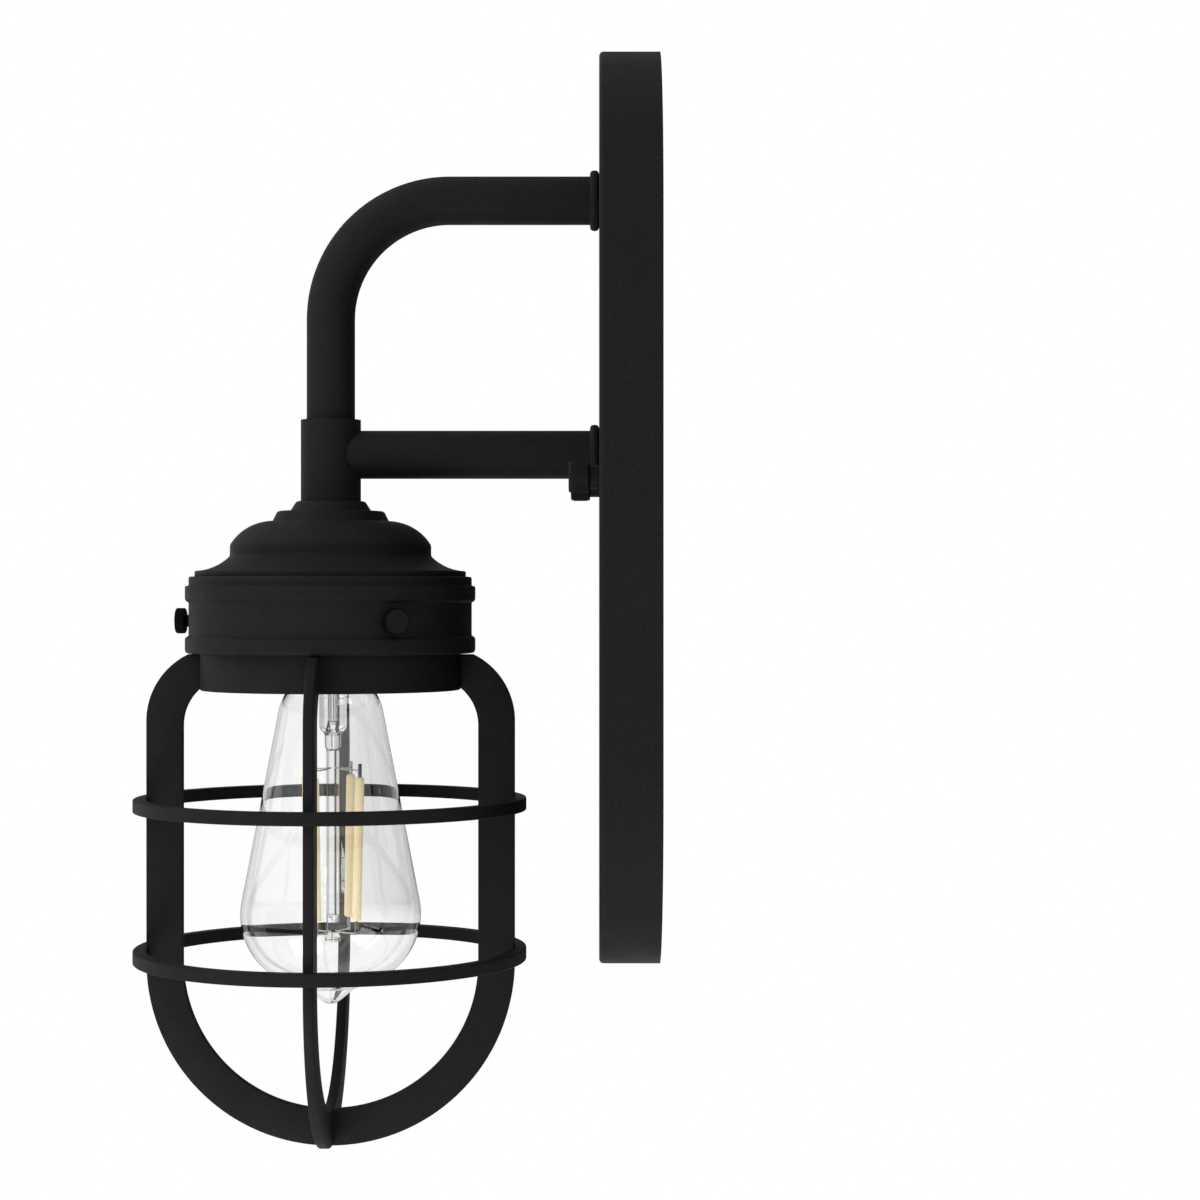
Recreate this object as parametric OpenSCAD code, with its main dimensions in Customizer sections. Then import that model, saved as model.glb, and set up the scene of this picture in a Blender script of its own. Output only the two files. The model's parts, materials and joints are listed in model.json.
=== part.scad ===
/* [Backplate] */
// Width of the backplate
plate_w = 127; // [118:1:150]
// Height of the backplate
plate_h = 324; // [280:1:380]
// Depth of the pan, from the wall to its front face
plate_depth = 21.5; // [20:0.5:32]
// Thickness of the pan's sheet
plate_sheet = 1.5; // [1:0.1:2]
// Radius of the pan's front edge
plate_edge_r = 1.6; // [1.2:0.1:3]
// Distance from the mounting studs down to the middle of the backplate
plate_drop = 9.6; // [0:0.1:20]

/* [Mounting strap] */
// Distance from a stud out to the middle of the slot beside it
slot_from_stud = 9.525; // [9:0.005:11]
// Length of each slot
slot_l = 11; // [8:0.5:12]
// Width of each slot
slot_w = 5; // [4.2:0.1:5.5]
// Height of the strap
strap_h = 22; // [18:0.5:26]
// Thickness of the strap's steel
strap_t = 2; // [1.5:0.1:2.5]
// Depth of the strap's stiffening flanges, from the wall
strap_depth = 5; // [3.5:0.1:5.5]
// Distance between the mounting studs
stud_span = 69.85; // [64:0.05:71]
// Diameter of a mounting stud
stud_d = 4.16; // [3.8:0.02:4.8]
// Size across the flats of a stud's lock nut
stud_nut_af = 8.7; // [7:0.1:9.5]
// Thickness of a stud's lock nut
stud_nut_t = 3.2; // [2.4:0.1:4]
// Diameter of the ground screw
ground_d = 4.8; // [4:0.1:5]
// Distance from the middle of the strap to the ground screw
ground_x = 16; // [13:0.5:20]

/* [Cap nuts] */
// Diameter of a cap nut's head
cap_nut_d = 11.1; // [9:0.1:13]
// Length of a cap nut's head
cap_nut_l = 7.1; // [6:0.1:9]
// Diameter of a cap nut's neck
cap_neck_d = 8.3; // [7:0.1:9]
// Length of a cap nut's neck
cap_neck_l = 3.4; // [2:0.1:5]

/* [Arms] */
// Distance from the wall to the axis of the lamp
reach = 117.4; // [105:0.1:140]
// Height of the upper arm above the mounting studs
upper_arm_z = 100.4; // [88:0.1:125]
// Height of the lower arm above the mounting studs
lower_arm_z = 9.6; // [7:0.1:12]
// Outer diameter of the arms' tube
arm_d = 17.2; // [15:0.1:19]
// Wall of the arms' tube
arm_wall = 2; // [1.2:0.1:2.4]
// Radius of the upper arm's bend, at the middle of the tube
bend_r = 42.5; // [30:0.5:50]
// Diameter of the collar where an arm meets the backplate
collar_d = 21.5; // [20:0.1:26]
// Thickness of that collar
collar_t = 3.3; // [2.4:0.1:5]
// Diameter of the tee's sleeve
tee_d = 21.4; // [20:0.1:26]
// Height of the tee above the lower arm's axis
tee_above = 12.4; // [11:0.1:16]
// Height of the tee below the lower arm's axis
tee_below = 16.6; // [15:0.1:24]
// Diameter of the threaded nipples
nipple_d = 9.8; // [9:0.1:10.3]
// Bore of the threaded nipples
nipple_bore = 6.8; // [6.4:0.1:7.2]
// Size across the flats of the nipples' lock nuts
nipple_nut_af = 13; // [12:0.1:14]
// Thickness of the nipples' lock nuts
nipple_nut_t = 3.5; // [2.5:0.1:4]

/* [Canopy cap] */
// Wall of the cap
cap_wall = 2; // [1.5:0.1:2.4]
// Height of the upper step
step1_h = 3.6; // [3:0.1:4.4]
// Radius of the upper step at its foot, as a share of the rim's radius
step1_share = 0.3008; // [0.29:0.0001:0.33]
// Height of the lower step
step2_h = 3.55; // [3:0.05:4.4]
// Radius of the lower step at its foot, as a share of the rim's radius
step2_share = 0.4295; // [0.41:0.0001:0.45]
// Radius of the dome's curve, as a share of the rim's radius
dome_share = 0.3641; // [0.345:0.0001:0.39]
// Radius of the band below the dome, as a share of the rim's radius
band_share = 0.7427; // [0.72:0.0001:0.765]
// Radius of the flare's hollow curve
flare_r = 18.2; // [17.2:0.1:20]
// How far the cap's rim stands in from the holder's bands
rim_set = 2.1; // [1.5:0.1:3]
// Height of the cap
cap_h = 27; // [26.5:0.1:29]

/* [Cage holder] */
// Radius of the holder's bands
holder_r = 50.3; // [50:0.1:52]
// Thickness of the holder's wall
holder_wall = 1.7; // [1.4:0.1:2]
// How far a bead stands out of the bands
bead_out = 1.3; // [0.8:0.1:2]
// Height of the holder
holder_h = 27.3; // [26:0.1:32]
// Height of each bead
bead_h = 5.8; // [4.5:0.1:6.5]
// Distance from the holder's lower edge up to the thumb screws
thumb_up = 11.6; // [10.5:0.1:13]
// Diameter of a thumb screw's head
thumb_d = 9.4; // [8:0.1:10]
// Length of a thumb screw's head
thumb_l = 4.6; // [3.5:0.1:8]
// Diameter of a thumb screw's shank
thumb_shank_d = 4.5; // [3.8:0.1:5]

/* [Cage] */
// Gap between the cage's collar and the inside of its holder
collar_gap = 2.3; // [2.2:0.1:3.5]
// Wall of the cage's collar
cage_collar_wall = 1.6; // [1.2:0.1:2.4]
// How far the collar shows below the holder
collar_show = 13.1; // [11:0.1:20]
// Outer radius of the hoops
cage_r = 65.8; // [62:0.1:72]
// Depth of a hoop's flat bar
bar_depth = 13.1; // [10:0.1:14]
// Thickness of a hoop's flat bar
bar_t = 3.5; // [2:0.1:4]
// Outer radius of a hoop's shoulder
shoulder_out_r = 26.5; // [22:0.1:30]
// Inner radius of a hoop's shoulder
shoulder_in_r = 17.2; // [14:0.1:18]
// Straight length of a hoop, from its shoulder to its round bottom
straight_l = 85.8; // [80:0.1:110]
// Radial width of a ring's bar
ring_w = 4.9; // [3:0.1:7]
// Height of a ring's bar
ring_h = 4.5; // [3:0.1:6]
// How deep the rings are let into the hoops
ring_let_in = 0.8; // [0.3:0.1:2]
// Distance from the hoops' straight top down to the upper ring
ring_top_gap = 29.5; // [15:0.5:40]
// Distance between the two rings
ring_span = 53.4; // [40:0.1:54]

/* [Lamp holder] */
// Radius of the porcelain body
socket_r = 19; // [17.5:0.1:20]
// Distance from the cap's top to the porcelain body
socket_drop = 29; // [28:0.1:31]
// Length of the porcelain body
socket_l = 35.5; // [34:0.1:37]
// Thickness of the porcelain above the screw shell
socket_floor = 8.1; // [7:0.1:9]
// Thickness of the bracket's strip
bracket_t = 1.2; // [1:0.1:1.5]
// Width of the bracket's strip
bracket_w = 10; // [8:0.5:11]

/* [Lamp] */
// Greatest diameter of the glass bulb
bulb_d = 64.3; // [60:0.1:70]
// Length of the lamp, from its contact to the tip of its glass
lamp_l = 141; // [138:0.5:150]
// Outer radius of the lamp's screw shell
lamp_shell_r = 13; // [12.8:0.05:13.2]
// Length of the lamp's metal base
lamp_base_l = 26; // [25:0.1:27]
// Wall of the glass
glass_wall = 0.8; // [0.6:0.1:1.2]
// Radius of the curve at the bulb's neck
neck_curve_r = 17.9; // [16:0.1:20]
// Radius of the curve at the bulb's widest part
belly_curve_r = 25.35; // [23:0.05:28]
// Radius of the curve of the bulb's end
end_curve_r = 39; // [37:0.1:42]
// Diameter of a light filament
filament_d = 3.2; // [2:0.1:4]
// Length of a light filament
filament_l = 51; // [44:0.5:54]

/* [Leads] */
// Diameter of an insulated lead
lead_d = 2.6; // [2.2:0.1:2.8]
// Diameter of the bare ground lead
ground_lead_d = 2; // [1.6:0.1:2.2]
// Radius at the middle of a lead's bends
lead_bend = 4; // [3:0.1:4.2]

/* [Hidden] */

$fn = 96;

// Slack between two pieces that are fixed to each other
seat = 0.05;
// Slack round a pin that turns or slides
slip = 0.08;
// Gap between two pieces that only come near each other
apart = 0.3;
// How far a cutting shape runs past what it cuts
past = 1;
// Room round a screw that passes freely through a hole
screw_room = 0.2;
// Width and depth of a screw's slot
drive_w = 0.9;
drive_depth = 0.8;

powder_black = [0.13, 0.13, 0.13];
screw_black = [0.09, 0.09, 0.09];
zinc = [0.72, 0.73, 0.74];
brass = [0.78, 0.63, 0.32];
porcelain = [0.93, 0.92, 0.88];
clear_glass = [0.85, 0.9, 0.92, 0.35];

arm_r = arm_d / 2;
arm_bore_r = arm_r - arm_wall;
nipple_r = nipple_d / 2;
plate_inner_y = -(plate_depth - plate_sheet);
rim_r = holder_r - rim_set;
step1_r = step1_share * rim_r;
step2_r = step2_share * rim_r;
dome_r = dome_share * rim_r;
band_r = band_share * rim_r;
cage_collar_r = holder_r - holder_wall - collar_gap;

// How far the cage's collar reaches above the thumb screws' shanks
collar_above = 4.4;

// Heights on the lamp's axis, from the mounting studs' level
head_z = lower_arm_z - tee_below;
holder_top = head_z - cap_h;
holder_low = holder_top - holder_h;
thumb_z = holder_low + thumb_up;
collar_low = holder_low - collar_show;
collar_top = thumb_z + thumb_shank_d / 2 + collar_above;
socket_top = head_z - socket_drop;
socket_low = socket_top - socket_l;
contact_seat = socket_top - socket_floor;
contact_t = 1;
lamp_top = contact_seat - contact_t - apart;
lamp_low = lamp_top - lamp_l;

// A run of points along an arc, counted as degrees from the first axis
function arc(centre, r, from, to, steps) =
    [for (i = [0:steps]) let (a = from + (to - from) * i / steps) centre + r * [cos(a), sin(a)]];

// Height of the point on a circle, above or below its centre, at a distance across
function rise(r, across) = sqrt(r * r - across * across);

module at_lamp_axis() {
    translate([0, -reach, 0]) children();
}

// Turns a shape drawn upwards so that it points away from the wall
module outwards(y = 0) {
    translate([0, y, 0]) rotate([90, 0, 0]) children();
}

module pipe(r_out, r_in, l) {
    difference() {
        cylinder(r = r_out, h = l);
        translate([0, 0, -past]) cylinder(r = r_in, h = l + 2 * past);
    }
}

module hex_nut(af, t, bore_r) {
    difference() {
        cylinder(d = af / cos(30), h = t, $fn = 6);
        translate([0, 0, -past]) cylinder(r = bore_r, h = t + 2 * past);
    }
}

// A round bar along a list of points that turn square corners, with a bend at each corner
module bent_wire(points, r, bend) {
    last = len(points) - 1;
    for (i = [0:last - 1]) {
        run = points[i + 1] - points[i];
        way = run / norm(run);
        start = i == 0 ? 0 : bend;
        stop = i == last - 1 ? 0 : bend;
        turn = [0, acos(way[2]), atan2(way[1], way[0])];
        translate(points[i] + way * start) rotate(turn) cylinder(r = r, h = norm(run) - start - stop);
    }
    for (i = [1:last - 1]) {
        before = points[i] - points[i - 1];
        after = points[i + 1] - points[i];
        a = before / norm(before);
        b = after / norm(after);
        n = cross(a, b);
        c = points[i] + (b - a) * bend;
        multmatrix([
            [-b[0], a[0], n[0], c[0]],
            [-b[1], a[1], n[1], c[1]],
            [-b[2], a[2], n[2], c[2]],
            [0, 0, 0, 1],
        ])
            rotate_extrude(angle = 90) translate([bend, 0]) circle(r = r);
    }
}

// Backplate: a shallow pan with round ends and a soft front edge

module pan_section(half_w, depth, edge_r) {
    square([half_w - edge_r, depth]);
    square([half_w, depth - edge_r]);
    translate([half_w - edge_r, depth - edge_r]) circle(r = edge_r);
}

module pan_solid(half_w, half_straight, depth, edge_r) {
    for (side = [0, 180])
        rotate([0, 0, side]) {
            translate([0, half_straight, 0])
                rotate_extrude(angle = 180) pan_section(half_w, depth, edge_r);
            translate([0, half_straight, 0])
                rotate([90, 0, 0])
                    linear_extrude(2 * half_straight) pan_section(half_w, depth, edge_r);
        }
}

module backplate() {
    half_w = plate_w / 2;
    half_straight = plate_h / 2 - half_w;
    color(powder_black)
        difference() {
            translate([0, 0, -plate_drop])
                outwards()
                    difference() {
                        pan_solid(half_w, half_straight, plate_depth, plate_edge_r);
                        translate([0, 0, -past])
                            pan_solid(
                                half_w - plate_sheet, half_straight,
                                plate_depth - plate_sheet + past, plate_edge_r - plate_sheet / 2
                            );
                    }
            for (z = [upper_arm_z, lower_arm_z])
                translate([0, 0, z])
                    outwards(plate_inner_y + past) cylinder(r = nipple_r + slip, h = plate_sheet + 2 * past);
            for (side = [-1, 1])
                translate([side * stud_span / 2, 0, 0])
                    outwards(plate_inner_y + past)
                        cylinder(r = stud_d / 2 + screw_room, h = plate_sheet + 2 * past);
        }
}

// Mounting strap with its studs, nuts and ground screw

slot_land = 4;
slot_span = stud_span + 2 * slot_from_stud;
cap_nut_crown = 3;
strap_l = slot_span + slot_l + 2 * slot_land;
strap_flange_t = 1.6;
stud_tip = plate_depth + cap_neck_l + cap_nut_l - cap_nut_crown;

module mounting_strap() {
    color(zinc)
        difference() {
            union() {
                translate([-strap_l / 2, -strap_t, -strap_h / 2]) cube([strap_l, strap_t, strap_h]);
                for (z = [-strap_h / 2, strap_h / 2 - strap_flange_t])
                    translate([-strap_l / 2, -strap_depth, z])
                        cube([strap_l, strap_depth - strap_t / 2, strap_flange_t]);
            }
            outwards(past) {
                for (side = [-1, 1]) {
                    translate([side * stud_span / 2, 0, 0])
                        cylinder(d = stud_d + 2 * seat, h = strap_t + 2 * past);
                    translate([side * slot_span / 2, 0, 0])
                        for (end = [-1, 1])
                            translate([end * (slot_l - slot_w) / 2, 0, 0])
                                cylinder(d = slot_w, h = strap_t + 2 * past);
                    translate([side * slot_span / 2 - (slot_l - slot_w) / 2, -slot_w / 2, 0])
                        cube([slot_l - slot_w, slot_w, strap_t + 2 * past]);
                }
                translate([-ground_x, 0, 0]) cylinder(d = ground_d + 2 * seat, h = strap_t + 2 * past);
                cylinder(r = nipple_r, h = strap_t + 2 * past);
            }
        }
}

module mounting_studs() {
    color(zinc)
        for (side = [-1, 1])
            translate([side * stud_span / 2, 0, 0])
                outwards(-seat) cylinder(d = stud_d, h = stud_tip);
}

module stud_nuts() {
    color(zinc)
        for (side = [-1, 1])
            translate([side * stud_span / 2, 0, 0])
                outwards(-strap_t) hex_nut(stud_nut_af, stud_nut_t, stud_d / 2 + seat);
}

ground_head_y = strap_t + ground_lead_d + 2 * seat;
ground_head_t = 2.4;

module ground_screw() {
    color([0.2, 0.5, 0.27])
        translate([-ground_x, 0, 0]) {
            outwards(-seat) cylinder(d = ground_d, h = ground_head_y + past - seat);
            outwards(-ground_head_y)
                difference() {
                    cylinder(d = 2 * ground_d, h = ground_head_t, $fn = 6);
                    translate([-ground_d, -drive_w / 2, ground_head_t - drive_depth])
                        cube([2 * ground_d, drive_w, drive_depth + past]);
                }
        }
}

// Cap nuts that clamp the backplate

module cap_nut(side) {
    chamfer = 0.6;
    bore_depth = stud_tip - plate_depth + apart;
    translate([side * stud_span / 2, 0, 0])
        outwards(-plate_depth)
            difference() {
                rotate_extrude()
                    polygon([
                        [0, 0],
                        [cap_neck_d / 2, 0],
                        [cap_neck_d / 2, cap_neck_l],
                        [cap_nut_d / 2 - chamfer, cap_neck_l],
                        [cap_nut_d / 2, cap_neck_l + chamfer],
                        [cap_nut_d / 2, cap_neck_l + cap_nut_l - chamfer],
                        [cap_nut_d / 2 - chamfer, cap_neck_l + cap_nut_l],
                        [0, cap_neck_l + cap_nut_l],
                    ]);
                translate([0, 0, -past]) cylinder(d = stud_d + 2 * slip, h = bore_depth + past);
            }
}

module cap_nut_left() {
    color(screw_black) cap_nut(-1);
}

module cap_nut_right() {
    color(screw_black) cap_nut(1);
}

// Arms: two tubes that meet in a tee, with a threaded collar at each plate end

arm_start = plate_depth + collar_t;
spigot_l = 8;
nipple_back = 12.5;
washer_t = 1;
washer_out = 1.5;

module arm_bend() {
    translate([0, bend_r - reach, upper_arm_z - bend_r])
        rotate([90, 0, 90])
            rotate([0, 0, 90])
                rotate_extrude(angle = 90)
                    translate([bend_r, 0])
                        difference() {
                            circle(r = arm_r);
                            circle(r = arm_bore_r);
                        }
}

module upper_arm() {
    color(powder_black) {
        translate([0, 0, upper_arm_z])
            outwards(-arm_start) pipe(arm_r, arm_bore_r, reach - bend_r - arm_start);
        arm_bend();
        difference() {
            at_lamp_axis()
                translate([0, 0, head_z]) pipe(arm_r, arm_bore_r, upper_arm_z - bend_r - head_z);
            translate([0, 0, lower_arm_z])
                outwards(-reach + arm_d) cylinder(r = arm_bore_r, h = arm_d);
        }
    }
}

module lower_arm() {
    color(powder_black)
        difference() {
            translate([0, 0, lower_arm_z])
                outwards(-arm_start) pipe(arm_r, arm_bore_r, reach - arm_start);
            at_lamp_axis()
                translate([0, 0, head_z]) cylinder(r = arm_r + seat, h = tee_above + tee_below);
        }
}

module tee_sleeve() {
    color(powder_black)
        difference() {
            at_lamp_axis()
                translate([0, 0, head_z]) pipe(tee_d / 2, arm_r + seat, tee_above + tee_below);
            translate([0, 0, lower_arm_z])
                outwards(-reach + tee_d) cylinder(r = arm_r + seat, h = tee_d);
        }
}

module arm_collar(z) {
    lip = collar_t / 2;
    translate([0, 0, z])
        outwards(-plate_depth)
            difference() {
                union() {
                    rotate_extrude()
                        translate([collar_d / 2 - lip, lip]) circle(r = lip);
                    cylinder(r = collar_d / 2 - lip, h = collar_t);
                    cylinder(r = arm_bore_r - seat, h = collar_t + spigot_l);
                }
                translate([0, 0, -past]) cylinder(r = nipple_r + seat, h = collar_t + spigot_l + 2 * past);
            }
}

module upper_arm_collar() {
    color(powder_black) arm_collar(upper_arm_z);
}

module lower_arm_collar() {
    color(powder_black) arm_collar(lower_arm_z);
}

module arm_nipples() {
    color(zinc)
        for (z = [upper_arm_z, lower_arm_z])
            translate([0, 0, z])
                outwards(-nipple_back)
                    pipe(nipple_r, nipple_bore / 2, plate_depth + collar_t + spigot_l - nipple_back);
}

module arm_washers() {
    color(zinc)
        for (z = [upper_arm_z, lower_arm_z])
            translate([0, 0, z])
                outwards(plate_inner_y + washer_t)
                    pipe(nipple_nut_af / 2 + washer_out, nipple_r + seat, washer_t);
}

module arm_nuts() {
    color(zinc)
        for (z = [upper_arm_z, lower_arm_z])
            translate([0, 0, z])
                outwards(plate_inner_y + washer_t + nipple_nut_t)
                    hex_nut(nipple_nut_af, nipple_nut_t, nipple_r + seat);
}

// Head: bush, nipple and nut that carry the cap and the lamp holder

bush_l = tee_below - arm_bore_r - past;
nipple_tail = 1.5;
head_nipple_low = cap_wall + bracket_t + nipple_nut_t + nipple_tail;

module stem_bush() {
    color(zinc)
        at_lamp_axis() translate([0, 0, head_z]) pipe(arm_bore_r - seat, nipple_r + seat, bush_l);
}

module head_nipple() {
    color(zinc)
        at_lamp_axis()
            translate([0, 0, head_z - head_nipple_low])
                pipe(nipple_r, nipple_bore / 2, head_nipple_low + bush_l - past);
}

module head_nut() {
    color(zinc)
        at_lamp_axis()
            translate([0, 0, head_z - cap_wall - bracket_t - nipple_nut_t])
                rotate([0, 0, 30]) hex_nut(nipple_nut_af, nipple_nut_t, nipple_r + seat);
}

// Canopy cap: two steps, a dome, a band and a hollow flare, spun as one shell

step_round = 1.4;
step_lean = 1;
rim_depth = 2;
flare_past = 0.5;
rim_flange = 9.7;
rim_inner_r = rim_r - rim_flange;

// Rounded shoulder of a step, and the foot that it leans out to
function step_edge(top, foot_r, h) =
    concat(
        arc([foot_r - step_lean - step_round, top - step_round], step_round, 90, 0, 6),
        [[foot_r, top - h]]
    );

// Half section of the cap, filled to the axis; inset by its wall, the same curves give the inside
function cap_section(inset) =
    let (
        dome_top = -step1_h - step2_h,
        dome_c = [step2_r, dome_top - dome_r],
        dome_in = dome_r - inset,
        band_in = band_r - inset,
        flare_c = [rim_r + flare_past, flare_r + rim_depth - cap_h],
        flare_in = flare_r + inset,
        rim_in = inset == 0 ? rim_r : rim_inner_r,
        low = inset == 0 ? -cap_h : -cap_h - past
    )
    concat(
        [[0, -inset]],
        step_edge(-inset, step1_r - inset, step1_h),
        step_edge(-step1_h - inset, step2_r - inset, step2_h),
        arc(dome_c, dome_in, 90, acos((band_in - dome_c[0]) / dome_in), 16),
        arc(
            flare_c, flare_in, 180 + acos((flare_c[0] - band_in) / flare_in),
            180 + acos((flare_c[0] - rim_in) / flare_in), 12
        ),
        [[rim_in, low], [0, low]]
    );

holder_screw_in = 3.5;
holder_screw_r = rim_inner_r + holder_screw_in;
holder_screw_d = 2.9;
holder_screw_grip = 2.2;
holder_flange_t = 1.5;

module on_holder_screws() {
    for (i = [0:2]) rotate([0, 0, 30 + i * 120]) translate([holder_screw_r, 0, 0]) children();
}

module canopy_cap() {
    color(powder_black)
        at_lamp_axis()
            translate([0, 0, head_z])
                difference() {
                    rotate_extrude() polygon(cap_section(0));
                    rotate_extrude() polygon(cap_section(cap_wall));
                    translate([0, 0, -2 * cap_wall]) cylinder(r = nipple_r + slip, h = 3 * cap_wall);
                    on_holder_screws()
                        translate([0, 0, -cap_h - past])
                            cylinder(d = holder_screw_d + 2 * seat, h = holder_screw_grip + past + seat);
                }
}

// Bracket: a strip bent into a U, clamped under the cap and screwed to the porcelain

nut_land = 0.7;
bracket_web = nipple_nut_af / 2 + nut_land;
bracket_disc_r = bracket_web + 1.6;
bracket_leg_x = socket_r + seat;
bracket_slope = 13;
bracket_foot = 4;
socket_screw_z = socket_top - socket_floor / 2;
socket_screw_d = 3;

module bracket_side() {
    slant = bracket_t * 1.3;
    top = head_z - cap_wall;
    polygon([
        [0, top],
        [bracket_web, top],
        [bracket_leg_x + bracket_t, top - bracket_slope],
        [bracket_leg_x + bracket_t, socket_screw_z - bracket_foot],
        [bracket_leg_x, socket_screw_z - bracket_foot],
        [bracket_leg_x, top - bracket_slope - (slant - bracket_t)],
        [bracket_web - slant + bracket_t, top - bracket_t],
        [0, top - bracket_t],
    ]);
}

module socket_bracket() {
    color(zinc)
        at_lamp_axis()
            difference() {
                union() {
                    rotate([90, 0, 0])
                        translate([0, 0, -bracket_w / 2])
                            linear_extrude(bracket_w) {
                                bracket_side();
                                mirror([1, 0]) bracket_side();
                            }
                    translate([0, 0, head_z - cap_wall - bracket_t])
                        cylinder(r = bracket_disc_r, h = bracket_t);
                }
                translate([0, 0, head_z - cap_wall - bracket_t - past])
                    cylinder(r = nipple_r + slip, h = bracket_t + 2 * past);
                translate([-bracket_leg_x - bracket_t - past, 0, socket_screw_z])
                    rotate([0, 90, 0])
                        cylinder(d = socket_screw_d + 2 * seat, h = 2 * (bracket_leg_x + bracket_t + past));
            }
}

// Holder: a ring of two beads with a flange under the cap's rim and three tapped bosses

boss_d = 8;
bead_low_gap = 0.3;
bead_top_gap = 3.2;
bead_sink = 0.4;
boss_reach = cage_collar_r + 0.5;
thumb_tip = cage_collar_r + apart;
holder_inner_r = holder_r - holder_wall;

module bead(r, low, h) {
    soft = 0.7;
    translate([0, low]) square([r - soft, h]);
    translate([0, low + soft]) square([r, h - 2 * soft]);
    for (z = [low + soft, low + h - soft]) translate([r - soft, z]) circle(r = soft, $fn = 32);
}

module at_thumb_screws() {
    for (a = [-90, 30, 150]) rotate([0, 0, a]) children();
}

module cage_holder() {
    color(powder_black)
        at_lamp_axis()
            difference() {
                union() {
                    difference() {
                        rotate_extrude() {
                            translate([0, holder_low]) square([holder_r, holder_h]);
                            bead(holder_r + bead_out, holder_low + bead_low_gap, bead_h);
                            bead(holder_r + bead_out, holder_top - bead_top_gap - bead_h, bead_h);
                        }
                        translate([0, 0, holder_low - past])
                            cylinder(r = holder_inner_r, h = holder_h - holder_flange_t + past);
                        translate([0, 0, holder_low]) cylinder(r = rim_inner_r, h = holder_h + past);
                    }
                    at_thumb_screws()
                        translate([boss_reach, 0, thumb_z])
                            rotate([0, 90, 0]) cylinder(d = boss_d, h = holder_r - boss_reach - bead_sink);
                }
                at_thumb_screws()
                    translate([boss_reach - past, 0, thumb_z])
                        rotate([0, 90, 0])
                            cylinder(d = thumb_shank_d + 2 * slip, h = holder_r - boss_reach + 2 * past);
                translate([0, 0, holder_top - holder_flange_t - past])
                    on_holder_screws()
                        cylinder(d = holder_screw_d + 4 * slip, h = holder_flange_t + 2 * past);
            }
}

module holder_screws() {
    head_t = 2;
    color(zinc)
        at_lamp_axis()
            on_holder_screws() {
                translate([0, 0, holder_top - holder_flange_t])
                    cylinder(d = holder_screw_d, h = holder_flange_t + holder_screw_grip);
                translate([0, 0, holder_top - holder_flange_t - head_t])
                    difference() {
                        cylinder(d = 2 * holder_screw_d, h = head_t);
                        translate([-holder_screw_d - past, -drive_w / 2, -past])
                            cube([2 * (holder_screw_d + past), drive_w, past + drive_depth]);
                    }
            }
}

// Thumb screws that clamp the cage's collar

module thumb_screw(angle) {
    chamfer = 0.5;
    head_from = holder_r + bead_out - bead_sink;
    at_lamp_axis()
        translate([0, 0, thumb_z])
            rotate([0, 0, angle])
                rotate([0, 90, 0])
                    rotate_extrude()
                        polygon([
                            [0, thumb_tip],
                            [thumb_shank_d / 2 - chamfer, thumb_tip],
                            [thumb_shank_d / 2, thumb_tip + chamfer],
                            [thumb_shank_d / 2, head_from],
                            [thumb_d / 2 - chamfer, head_from + chamfer],
                            [thumb_d / 2, head_from + 2 * chamfer],
                            [thumb_d / 2, head_from + thumb_l - 2 * chamfer],
                            [thumb_d / 2 - chamfer, head_from + thumb_l - chamfer],
                            [thumb_d / 4, head_from + thumb_l - chamfer / 4],
                            [0, head_from + thumb_l],
                        ]);
}

module thumb_screw_front() {
    color(screw_black) thumb_screw(-90);
}

module thumb_screw_left() {
    color(screw_black) thumb_screw(150);
}

module thumb_screw_right() {
    color(screw_black) thumb_screw(30);
}

// Cage: a collar, two hoops that cross at the bottom and two rings let into their edges

shoulder_below_collar = 11.1;
shoulder_step = 1.5;
shoulder_out_z = collar_low - shoulder_below_collar;
shoulder_in_z = shoulder_out_z - shoulder_step;
bottom_z = shoulder_out_z - straight_l;
hoop_top = holder_low - apart - seat;
cage_in_r = cage_r - bar_depth;
ring_in_r = cage_r - ring_let_in;
ring_upper_z = shoulder_out_z - ring_top_gap;
ring_lower_z = ring_upper_z - ring_span;

module cage_collar() {
    lip = cage_collar_wall / 2;
    r_in = cage_collar_r - cage_collar_wall;
    color(powder_black)
        at_lamp_axis()
            rotate_extrude() {
                translate([r_in, collar_low + lip])
                    square([cage_collar_wall, collar_top - collar_low - lip]);
                translate([r_in + lip, collar_low + lip]) circle(r = lip, $fn = 48);
            }
}

// Half of a hoop's outline, filled to the axis
module hoop_half(r, shoulder_r, shoulder_z) {
    translate([r - shoulder_r, shoulder_z]) circle(r = shoulder_r);
    translate([0, bottom_z]) square([r, shoulder_z - bottom_z]);
    translate([0, shoulder_z]) square([r - shoulder_r, shoulder_r]);
    intersection() {
        translate([0, bottom_z]) circle(r = r);
        translate([0, bottom_z - r]) square([r, r]);
    }
}

module hoop() {
    difference() {
        rotate([90, 0, 0])
            translate([0, 0, -bar_t / 2])
                linear_extrude(bar_t)
                    for (side = [0, 1])
                        mirror([side, 0])
                            difference() {
                                hoop_half(cage_r, shoulder_out_r, shoulder_out_z);
                                hoop_half(cage_in_r, shoulder_in_r, shoulder_in_z);
                                translate([-past, hoop_top]) square([cage_r, shoulder_out_r]);
                            }
        translate([0, 0, shoulder_in_z]) cylinder(r = cage_collar_r + seat, h = 2 * shoulder_out_r);
        ring_body(ring_upper_z, seat);
        ring_body(ring_lower_z, seat);
    }
}

module ring_body(z, slack) {
    rotate_extrude($fn = 180)
        translate([ring_in_r - slack, z - ring_h / 2 - slack])
            square([ring_w + 2 * slack, ring_h + 2 * slack]);
}

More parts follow.
